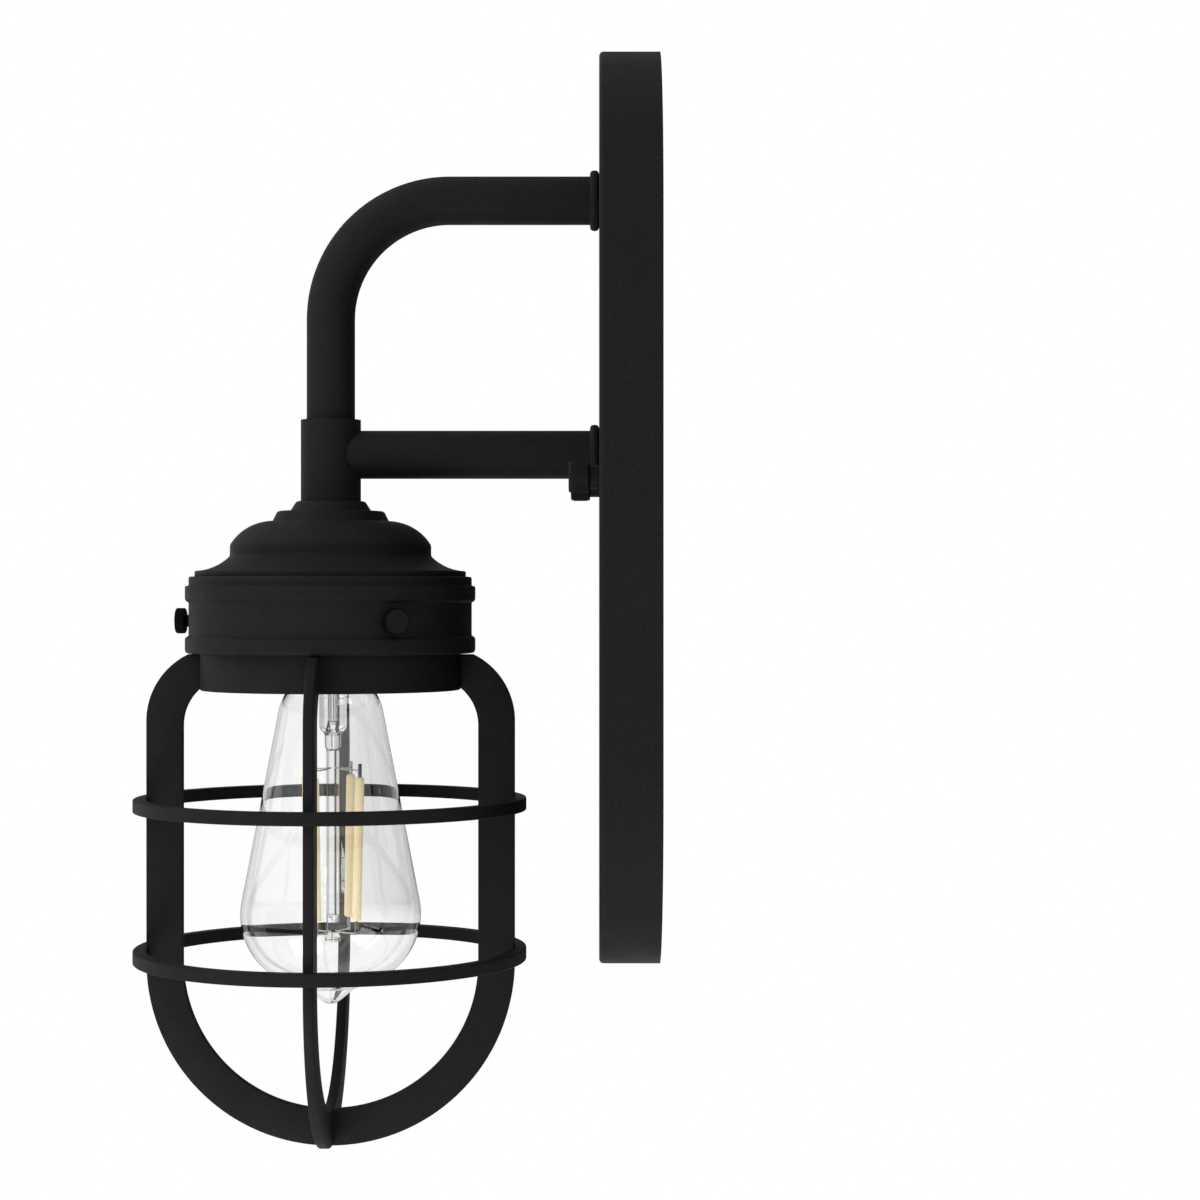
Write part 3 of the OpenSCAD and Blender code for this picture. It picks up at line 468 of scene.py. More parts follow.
class Kit:
    """Every finish of the light, each made once."""

    ZINC = Plating(
        "zinc plating", (0.56, 0.57, 0.59), (0.47, 0.48, 0.49), 7.0, (0.28, 0.42), 0.006, 0.4,
        (("Metallic", 1.0),),
    )
    FINISHES = {
        "powder_coat": PowderCoat(
            "black powder coat", (0.0104, 0.0104, 0.0106), (0.006, 0.006, 0.0062), 22.0, (0.58, 0.7),
            0.045, 1.0, (("Specular IOR Level", 0.1),),
        ),
        "black_screws": Plating(
            "black oxide", (0.006, 0.006, 0.0062), (0.0086, 0.0086, 0.009), 3.0, (0.48, 0.6), 0.008, 0.5,
            (("Specular IOR Level", 0.1),),
        ),
        # Painted shade: a darker copy of the black oxide, laid on the thumb screws' barrels, knurls and
        # chamfers to stand for the shade that the knurl holds.
        "knurled_barrel": Plating(
            "black oxide with painted shade", (0.0022, 0.0022, 0.0023), (0.0034, 0.0034, 0.0036), 3.0, (0.55, 0.66),
            0.012, 0.5, (("Specular IOR Level", 0.03),),
        ),
        "seal_bead": Finish(
            "oxidised seal", (0.022, 0.02, 0.018), (0.05, 0.046, 0.042), 0.6, (0.3, 0.45), 0.01, 0.3,
        ),
        "zinc_steel": ZINC,
        "brass": Plating(
            "brass", (0.62, 0.42, 0.16), (0.46, 0.29, 0.11), 5.0, (0.22, 0.38), 0.006, 0.5,
            (("Metallic", 1.0),),
        ),
        "porcelain": Finish(
            "glazed porcelain", (0.79, 0.77, 0.71), (0.72, 0.695, 0.62), 9.0, (0.1, 0.22), 0.03, 5.0,
            (("Coat Weight", 0.5), ("Coat Roughness", 0.08), ("Subsurface Weight", 0.06)),
        ),
        "clear_glass": DrawnGlass(
            "clear glass", (0.99, 0.993, 0.992), (0.98, 0.985, 0.983), 18.0, (0.0, 0.012), 0.03, 9.0,
            (("Transmission Weight", 1.0), ("IOR", 1.47)),
        ),
        "stem_glass": DrawnGlass(
            "stem glass", (0.985, 0.988, 0.985), (0.965, 0.97, 0.967), 4.0, (0.0, 0.015), 0.005, 2.5,
            (("Transmission Weight", 1.0), ("IOR", 1.5)),
        ),
        "lamp_cap": Plating(
            "nickel cap", (0.52, 0.5, 0.46), (0.42, 0.4, 0.37), 4.0, (0.26, 0.4), 0.006, 0.4,
            (("Metallic", 1.0),),
        ),
        "black_glass": Finish(
            "black glass", (0.006, 0.006, 0.008), (0.011, 0.01, 0.012), 3.0, (0.08, 0.2), 0.02, 2.0,
            (("Coat Weight", 0.4),),
        ),
        # Painted glow: a faint warm emission lifts the filaments of the unlit lamp, standing in for light
        # that does not reach them through the glass.
        "filament": Phosphor(
            "phosphor", (0.97, 0.84, 0.56), (0.92, 0.77, 0.46), 0.35, (0.42, 0.55), 0.05, 0.5,
            (("Specular IOR Level", 0.3), ("Emission Color", (1.0, 0.82, 0.48, 1.0)),
             ("Emission Strength", 0.22)),
        ),
        "wire_metal": Plating(
            "nickel wire", (0.72, 0.71, 0.69), (0.58, 0.575, 0.56), 2.0, (0.22, 0.36), 0.004, 0.3,
            (("Metallic", 1.0),),
        ),
        "driver_board": Board(
            "circuit board", (0.02, 0.11, 0.035), (0.035, 0.19, 0.06), 2.4, (0.25, 0.4), 0.03, 0.5,
            (("Coat Weight", 0.3),),
        ),
        "black_insulation": Finish(
            "black insulation", (0.012, 0.012, 0.013), (0.019, 0.019, 0.02), 5.0, (0.38, 0.5), 0.012, 0.5,
        ),
        "white_insulation": Finish(
            "white insulation", (0.76, 0.76, 0.74), (0.68, 0.675, 0.65), 5.0, (0.36, 0.48), 0.012, 0.5,
            (("Subsurface Weight", 0.05),),
        ),
        "green_insulation": Finish(
            "green insulation", (0.03, 0.19, 0.06), (0.024, 0.145, 0.045), 5.0, (0.36, 0.48), 0.012, 0.5,
        ),
        "green_screw": Plating(
            "green plating", (0.05, 0.24, 0.09), (0.035, 0.17, 0.06), 3.0, (0.26, 0.4), 0.006, 0.4,
            (("Metallic", 0.75),),
        ),
        "connector_plastic": Finish(
            "connector plastic", (0.72, 0.24, 0.03), (0.62, 0.19, 0.025), 4.0, (0.34, 0.46), 0.012, 0.6,
            (("Subsurface Weight", 0.08),),
        ),
    }
    _made: dict[str, bpy.types.Material] = {}

    @classmethod
    def of(cls, slot: str) -> bpy.types.Material:
        """Gives the material of a finish: a slot of the record, or a piece's second finish."""
        if slot not in cls._made:
            cls._made[slot] = cls.FINISHES[slot].make()
        return cls._made[slot]


# Rules that repeat a shape or run it along a path


class Rule(Bench):
    """A Geometry Nodes tree with named inputs, ending in realised and painted geometry."""

    TITLE: ClassVar[str]
    SIZES: ClassVar[dict[str, Kind]]
    _built: ClassVar[dict[type, Rule]] = {}

    def __init__(self) -> None:
        """Makes the tree, its inputs and its steps."""
        super().__init__(bpy.data.node_groups.new(self.TITLE, "GeometryNodeTree"))
        new = self.tree.interface.new_socket
        new("Geometry", in_out="INPUT", socket_type="NodeSocketGeometry")
        new("Material", in_out="INPUT", socket_type="NodeSocketMaterial")
        for size, kind in self.SIZES.items():
            new(size, in_out="INPUT", socket_type=f"NodeSocket{kind.value}")
        new("Geometry", in_out="OUTPUT", socket_type="NodeSocketGeometry")
        self.given = self.add("NodeGroupInput").outputs
        real = self.add("GeometryNodeRealizeInstances", {0: self.shape()}).outputs[0]
        smooth = self.add("GeometryNodeSetShadeSmooth", {0: real}).outputs[0]
        feeds = {0: smooth, "Material": self.given["Material"]}
        painted = self.add("GeometryNodeSetMaterial", feeds).outputs[0]
        self.add("NodeGroupOutput", {0: painted})

    def shape(self) -> Socket:
        """Gives the geometry that the rule makes."""
        raise NotImplementedError

    def metres(self, name: str) -> Socket:
        """Gives an input that is in millimetres in metres."""
        return self.sum_of("MULTIPLY", self.given[name], MM)

    def swept(self, path: Socket, radius: Socket, sides: Socket | int) -> Socket:
        """Runs a round section along a path and closes its ends.

        Args:
            path: The path.
            radius: The section's radius.
            sides: The section's number of sides.

        Returns:
            The mesh.
        """
        feeds = {"Resolution": sides, "Radius": radius}
        ring = self.add("GeometryNodeCurvePrimitiveCircle", feeds).outputs[0]
        feeds = {"Curve": path, "Profile Curve": ring, "Fill Caps": True}
        return self.add("GeometryNodeCurveToMesh", feeds).outputs[0]

    @classmethod
    def grow(cls, start: Form, node: str, **sizes: float) -> bpy.types.Mesh:
        """Runs the rule on a form and gives the plain mesh.

        Args:
            start: What the rule starts from.
            node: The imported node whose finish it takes.
            **sizes: The rule's inputs, in millimetres, counts or degrees, with _ for a space.

        Returns:
            The finished mesh, in metres.
        """
        if cls not in Rule._built:
            Rule._built[cls] = cls()
        tree = Rule._built[cls].tree
        mesh = start.mesh(cls.TITLE)
        holder = Workshop.shown(cls.TITLE, mesh)
        modifier = holder.modifiers.new(cls.TITLE, "NODES")
        modifier.node_group = tree
        sockets = {s.name: s for s in tree.interface.items_tree if s.in_out == "INPUT"}
        modifier[sockets["Material"].identifier] = Kit.of(SLOTS[node])
        for name, value in sizes.items():
            modifier[sockets[name.replace("_", " ")].identifier] = value
        grown = Workshop.settled(holder)
        holder.modifiers.remove(modifier)
        bpy.data.objects.remove(holder)
        bpy.data.meshes.remove(mesh)
        return grown


class RingRule(Rule):
    """Sets copies of a form round the vertical axis."""

    TITLE = "Set round an axis"
    SIZES = {"Count": Kind.COUNT, "First Turn": Kind.NUMBER}

    def shape(self) -> Socket:
        """Stands the copies on the axis, each turned one step further."""
        points = self.add("GeometryNodePoints", {"Count": self.given["Count"]}).outputs[0]
        index = self.add("GeometryNodeInputIndex").outputs[0]
        step = self.sum_of("DIVIDE", 2 * math.pi, self.given["Count"])
        first = self.sum_of("RADIANS", self.given["First Turn"])
        turn = self.sum_of("MULTIPLY_ADD", index, step, first)
        euler = self.add("ShaderNodeCombineXYZ", {2: turn}).outputs[0]
        spin = self.add("FunctionNodeEulerToRotation", {0: euler}).outputs[0]
        feeds = {"Points": points, "Instance": self.given["Geometry"], "Rotation": spin}
        return self.add("GeometryNodeInstanceOnPoints", feeds).outputs[0]


class ThreadRule(Rule):
    """Winds a screw thread's ridge up the vertical axis, over a core."""

    TITLE = "Wind a thread"
    SIZES = {"Radius": Kind.NUMBER, "Turns": Kind.NUMBER, "Length": Kind.NUMBER, "Ridge": Kind.NUMBER}

    def shape(self) -> Socket:
        """Runs the ridge along a spiral and adds the core."""
        radius = self.metres("Radius")
        path = self.add("GeometryNodeCurveSpiral", {
            "Resolution": 28, "Rotations": self.given["Turns"], "Height": self.metres("Length"),
            "Start Radius": radius, "End Radius": radius,
        }).outputs[0]
        wound = self.swept(path, self.metres("Ridge"), 5)
        whole = self.add("GeometryNodeJoinGeometry", {0: wound})
        self.tree.links.new(self.given["Geometry"], whole.inputs[0])
        return whole.outputs[0]


class RolledRule(Rule):
    """Rolls a wave shaped thread into a thin shell round the vertical axis."""

    TITLE = "Roll a thread"
    SIZES = {name: Kind.NUMBER for name in ("Pitch", "Depth", "Low", "High", "Fade")}

    def shape(self) -> Socket:
        """Pushes the shell in and out along the thread's wave, which fades at both ends."""
        spot = self.add("GeometryNodeInputPosition").outputs[0]
        x, y, z = self.add("ShaderNodeSeparateXYZ", {0: spot}).outputs
        height = self.sum_of("DIVIDE", z, MM)
        lead = self.sum_of("DIVIDE", height, self.given["Pitch"])
        around = self.sum_of("ARCTAN2", y, x)
        phase = self.sum_of("SUBTRACT", self.sum_of("MULTIPLY", lead, 2 * math.pi), around)
        below = self.sum_of("SUBTRACT", height, self.given["Low"])
        above = self.sum_of("SUBTRACT", self.given["High"], height)
        nearer = self.sum_of("DIVIDE", self.sum_of("MINIMUM", below, above), self.given["Fade"])
        share = self.sum_of("MAXIMUM", self.sum_of("MINIMUM", nearer, 1.0), 0.0)
        wave = self.sum_of("MULTIPLY", self.sum_of("SINE", phase), share)
        push = self.sum_of("MULTIPLY", wave, self.metres("Depth"))
        flat = self.add("ShaderNodeCombineXYZ", {0: x, 1: y}).outputs[0]
        out = self.add("ShaderNodeVectorMath", {0: flat}, operation="NORMALIZE").outputs[0]
        move = self.add("ShaderNodeVectorMath", {0: out, "Scale": push}, operation="SCALE").outputs[0]
        feeds = {"Geometry": self.given["Geometry"], "Offset": move}
        return self.add("GeometryNodeSetPosition", feeds).outputs[0]


class StrandRule(Rule):
    """Runs a round strand along a path and bends it at the corners."""

    TITLE = "Run a strand"
    SIZES = {"Radius": Kind.NUMBER, "Bend": Kind.NUMBER, "Sides": Kind.COUNT}

    def shape(self) -> Socket:
        """Rounds the path's corners and runs the strand along it."""
        path = self.add("GeometryNodeMeshToCurve", {0: self.given["Geometry"]}).outputs[0]
        feeds = {"Curve": path, "Radius": self.metres("Bend"), "Count": 10, "Limit Radius": True}
        soft = self.add("GeometryNodeFilletCurve", feeds, mode="POLY").outputs[0]
        return self.swept(soft, self.metres("Radius"), self.given["Sides"])


# Pieces


class Workshop:
    """Makes pieces, hangs them on their bodies and hides the nodes that they stand for."""

    @staticmethod
    def shown(name: str, data: bpy.types.ID) -> bpy.types.Object:
        """Puts a mesh, a lamp or a camera in the scene as an object."""
        obj = bpy.data.objects.new(name, data)
        bpy.context.scene.collection.objects.link(obj)
        return obj

    @classmethod
    def solid(cls, name: str, form: Form) -> bpy.types.Object:
        """Makes a mesh object of a form, in metres and facing outwards."""
        mesh = form.mesh(name)
        bm = bmesh.new()
        bm.from_mesh(mesh)
        bmesh.ops.remove_doubles(bm, verts=bm.verts[:], dist=ON_AXIS * MM)
        bmesh.ops.recalc_face_normals(bm, faces=bm.faces[:])
        if bm.calc_volume(signed=True) < 0:
            bmesh.ops.reverse_faces(bm, faces=bm.faces[:])
        bm.to_mesh(mesh)
        bm.free()
        return cls.shown(name, mesh)

    @classmethod
    def loose(cls, form: Form) -> bpy.types.Mesh:
        """Makes a mesh of a form, with no object, as a part of a piece."""
        obj = cls.solid("loose", form)
        mesh = obj.data
        bpy.data.objects.remove(obj)
        return mesh

    @staticmethod
    def settled(obj: bpy.types.Object) -> bpy.types.Mesh:
        """Gives an object's mesh with its modifiers applied."""
        bpy.context.view_layer.update()
        graph = bpy.context.evaluated_depsgraph_get()
        return bpy.data.meshes.new_from_object(obj.evaluated_get(graph))

    @classmethod
    def combine(cls, obj: bpy.types.Object, form: Form, meet: Meet) -> None:
        """Puts another form to a solid.

        Args:
            obj: The solid.
            form: The other form.
            meet: Whether it is added or cut out.
        """
        tool = cls.solid("tool", form)
        modifier = obj.modifiers.new("meet", "BOOLEAN")
        modifier.operation = meet.value
        modifier.solver = "EXACT"
        modifier.object = tool
        mesh = cls.settled(obj)
        obj.modifiers.clear()
        obj.data = mesh
        bpy.data.objects.remove(tool)

    @staticmethod
    def absorb(obj: bpy.types.Object, mesh: bpy.types.Mesh, place: Matrix) -> None:
        """Adds a mesh to a piece.

        Args:
            obj: The piece.
            mesh: The mesh, in metres, which is used up.
            place: Its place, in millimetres.
        """
        move = place.copy()
        move.translation = place.translation * MM
        mesh.transform(move)
        bm = bmesh.new()
        bm.from_mesh(obj.data)
        bm.from_mesh(mesh)
        bm.to_mesh(obj.data)
        bm.free()
        bpy.data.meshes.remove(mesh)

    @classmethod
    def finish(cls, obj: bpy.types.Object, node: str, crease: float = 35.0) -> bpy.types.Object:
        """Gives a piece its finish, body and slot, and lets it stand for its node.

        Args:
            obj: The piece.
            node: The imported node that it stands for.
            crease: Angle in degrees above which an edge stays sharp.

        Returns:
            The piece.
        """
        faces = obj.data.polygons
        obj.data.materials.clear()
        obj.data.materials.append(Kit.of(SLOTS[node]))
        faces.foreach_set("material_index", [0] * len(faces))
        faces.foreach_set("use_smooth", [True] * len(faces))
        obj.data.set_sharp_from_angle(angle=math.radians(crease))
        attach(obj, FRAME["nodes"][node]["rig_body"])
        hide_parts(node)
        log.info("%s: %d faces, %s", obj.name, len(faces), SLOTS[node])
        return obj

    @staticmethod
    def repaint(obj: bpy.types.Object, finish: str, chosen: Chooser) -> None:
        """Gives some of a finished piece's faces a second finish.

        Args:
            obj: The piece.
            chosen: Tells which faces take it.
        """
        obj.data.materials.append(Kit.of(finish))
        for face in obj.data.polygons:
            if chosen(face):
                face.material_index = 1

    @classmethod
    def shaped(cls, name: str, form: Form, node: str, crease: float = 35.0) -> bpy.types.Object:
        """Makes a piece of a form and lets it stand for a node."""
        return cls.finish(cls.solid(name, form), node, crease)

    @classmethod
    def gathered(cls, name: str, parts: list[Part], node: str, crease: float = 35.0) -> bpy.types.Object:
        """Makes a piece of several meshes and lets it stand for a node.

        Args:
            name: The piece's name.
            parts: Each mesh with its place.
            node: The node.
            crease: Angle in degrees above which an edge stays sharp.

        Returns:
            The piece.
        """
        obj = cls.solid(name, Form())
        for mesh, place in parts:
            cls.absorb(obj, mesh, place)
        return cls.finish(obj, node, crease)

    @classmethod
    def softened(cls, name: str, node: str, width: float, steps: int) -> bpy.types.Object:
        """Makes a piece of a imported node's own solid, with its edges eased.

        Args:
            name: The piece's name.
            node: The node.
            width: Width of the eased edges.
            steps: Steps across an edge.

        Returns:
            The piece.
        """
        bm = bmesh.new()
        bm.from_mesh(FRAME["nodes"][node].data)
        bmesh.ops.remove_doubles(bm, verts=bm.verts[:], dist=WELD_M)
        bmesh.ops.dissolve_limit(bm, angle_limit=FLAT_ENOUGH, verts=bm.verts[:], edges=bm.edges[:])
        mesh = bpy.data.meshes.new(name)
        bm.to_mesh(mesh)
        bm.free()
        obj = cls.shown(name, mesh)
        modifier = obj.modifiers.new("Ease", "BEVEL")
        modifier.width = width * MM
        modifier.segments = steps
        modifier.limit_method = "ANGLE"
        modifier.angle_limit = EASED_FROM
        modifier.use_clamp_overlap = True
        eased = cls.settled(obj)
        obj.modifiers.clear()
        obj.data = eased
        return cls.finish(obj, node)

    @classmethod
    def kept(cls, *nodes: str) -> None:
        """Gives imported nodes, whose shape is right, their finish."""
        for node in nodes:
            FRAME["nodes"][node].material_slots[0].material = Kit.of(SLOTS[node])
            log.info("%s: kept, %s", node, SLOTS[node])


# Sub-assemblies


def knurl(out: float, foot: float, length: float, depth: float, count: int, node: str) -> bpy.types.Mesh:
    """Makes the ribs of a straight knurl, round the vertical axis.

    Args:
        out: Distance of the ribs' backs from the axis.
        foot: Height at which they start.
        length: Their length.
        depth: How far they stand out.
        count: Number of ribs.
        node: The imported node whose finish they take.

    Returns:
        The ribs' mesh.
    """
    bar = rounded([(0, 0, 0), (depth, 0, 0.1), (depth, length, 0.1), (0, length, 0)], 1, False)
    rib = turned(bar, 6).placed(Matrix.Translation((out, 0, foot)))
    return RingRule.grow(rib, node, Count=count, First_Turn=0.0)


@dataclass(frozen=True)
class Thread:
    """A screw thread wound on a turned core."""

    core_r: float
    pitch: float
    ridge: float

    def wound(self, core: list[Flat], place: Matrix, node: str, steps: int = 48) -> Part:
        """Winds the thread on a core.

        Args:
            core: The core's section, from its foot at no height.
            place: The core's foot and the way that it points.
            node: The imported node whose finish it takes.
            steps: Steps round the core.

        Returns:
            The mesh and its place.
        """
        length = max(z for _, z in core) - 2 * self.pitch
        start = Matrix.Translation((0, 0, self.pitch))
        grown = ThreadRule.grow(
            turned(core, steps).placed(start.inverted()), node,
            Radius=self.core_r, Turns=length / self.pitch, Length=length, Ridge=self.ridge,
        )
        return grown, place @ start


@dataclass(frozen=True)
class Nipple:
    """Threaded tube, cut to length."""

    radius: float = 4.9
    bore: float = 3.4
    pitch: float = 1.0
    ridge: float = 0.3

    def cut(self, length: float, place: Matrix, node: str) -> Part:
        """Makes a length of the tube.

        Args:
            length: The length.
            place: Its foot and the way that it points.
            node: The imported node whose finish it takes.

        Returns:
            The mesh and its place.
        """
        core_r = self.radius - self.ridge
        core = rounded([
            (self.bore, 0.0, 0.2), (core_r, 0.0, 0.4), (core_r, length, 0.4), (self.bore, length, 0.2),
        ], 2)
        return Thread(core_r, self.pitch, self.ridge).wound(core, place, node)


class Assembly:
    """A sub-assembly: nodes kept as they are, nodes whose edges are eased, and forms of its own."""

    KEPT: ClassVar[tuple[str, ...]] = ()
    EASED: ClassVar[tuple[tuple[str, str, float, int], ...]] = ()

    def build(self) -> None:
        """Finishes the kept nodes, eases the simple ones and makes the rest."""
        Workshop.kept(*self.KEPT)
        for name, node, width, steps in self.EASED:
            Workshop.softened(name, node, width, steps)
        self.make()

    def make(self) -> None:
        """Makes the pieces with forms of their own."""


@dataclass
class Plate(Assembly):
    """Backplate with its strap, studs, nuts, ground screw and cap nuts."""

    KEPT = ("backplate",)
    EASED = (
        ("strap_pressing", "mounting_strap", 0.35, 2),
        ("stud_lock_nuts", "stud_nuts", 0.25, 2),
        ("ground_screw_head", "ground_screw", 0.2, 2),
    )

    stud_tip: float = 29.0
    stud_chamfer: float = 0.5
    stud_thread: Thread = Thread(core_r=1.83, pitch=0.8, ridge=0.24)
    nut_neck_r: float = 4.15
    nut_neck: float = 3.4
    nut_r: float = 5.55
    nut_l: float = 7.1
    nut_bore: float = 2.16
    nut_bore_deep: float = 7.8
    knurls: int = 30
    knurl_depth: float = 0.2

    def make(self) -> None:
        """Makes the studs and the cap nuts."""
        r, tip = self.stud_thread.core_r, self.stud_tip
        core = [
            (0.0, 0.05), (r - 0.3, 0.05), (r, 0.4), (r, tip - 0.8), (r - self.stud_chamfer, tip), (0.0, tip),
        ]
        node = "mounting_studs"
        studs = [self.stud_thread.wound(core, from_wall(x, 0, 0), node, 32) for x in (-STUDS, STUDS)]
        Workshop.gathered("threaded_studs", studs, node)
        self.cap_nut(-STUDS, "cap_nut_left")
        self.cap_nut(STUDS, "cap_nut_right")

    def cap_nut(self, x: float, node: str) -> None:
        """Makes a cap nut, turned with a straight knurl.

        Args:
            x: Where its stud is.
            node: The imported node.
        """
        top, r = self.nut_neck + self.nut_l, self.nut_r - 0.12
        section = opened(rounded([
            (self.nut_bore, 0.0, 0.0), (self.nut_neck_r, 0.0, 0.3), (self.nut_neck_r, self.nut_neck, 0.25),
            (r, self.nut_neck, 0.7), (r, top, 0.9), (0.0, top, 0.0),
            (0.0, self.nut_bore_deep, 0.0), (self.nut_bore, self.nut_bore_deep, 0.0),
        ]))
        place = from_wall(x, 0, PLATE_FRONT)
        ribs = knurl(r - 0.04, self.nut_neck + 1.0, self.nut_l - 2.0, self.knurl_depth, self.knurls, node)
        parts = [(Workshop.loose(turned(section, 64)), place), (ribs, place)]
        Workshop.gathered(f"{node}_turned", parts, node)


@dataclass
class Arms(Assembly):
    """The two tubes, their tee, their collars and what clamps them to the plate."""

    KEPT = ("upper_arm", "lower_arm")
    EASED = (
        ("tee_sleeve_eased", "tee_sleeve", 0.6, 3),
        ("arm_lock_washers", "arm_washers", 0.2, 2),
        ("arm_lock_nuts", "arm_nuts", 0.3, 2),
    )

    upper_z: float = 100.4
    lower_z: float = 9.6
    nipple_from: float = 12.5
    nipple_l: float = 20.3
    collar_r: float = 10.75
    collar_t: float = 3.3
    spigot_r: float = 6.55
    spigot_l: float = 8.0
    nipple: Nipple = Nipple()

    def make(self) -> None:
        """Makes the collars and the nipples."""
        for node, z in (("upper_arm_collar", self.upper_z), ("lower_arm_collar", self.lower_z)):
            self.collar(node, z)
        node = "arm_nipples"
        nipples = [self.nipple.cut(self.nipple_l, from_wall(0, z, self.nipple_from), node)
                   for z in (self.upper_z, self.lower_z)]
        Workshop.gathered("threaded_arm_nipples", nipples, node)

    def collar(self, node: str, z: float) -> None:
        """Makes a collar, a round-edged washer with a spigot.

        Args:
            node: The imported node.
            z: Height of its axis.
        """
        bore = self.nipple.radius + 0.05
        tall = self.collar_t + self.spigot_l
        section = rounded([
            (bore, 0.0, 0.0), (self.collar_r, 0.0, 1.6), (self.collar_r, self.collar_t, 1.6),
            (self.spigot_r, self.collar_t, 0.0), (self.spigot_r, tall, 0.4), (bore, tall, 0.0),
        ], 6)
        Workshop.shaped(f"{node}_turned", turned(section, 72).placed(from_wall(0, z, PLATE_FRONT)), node)


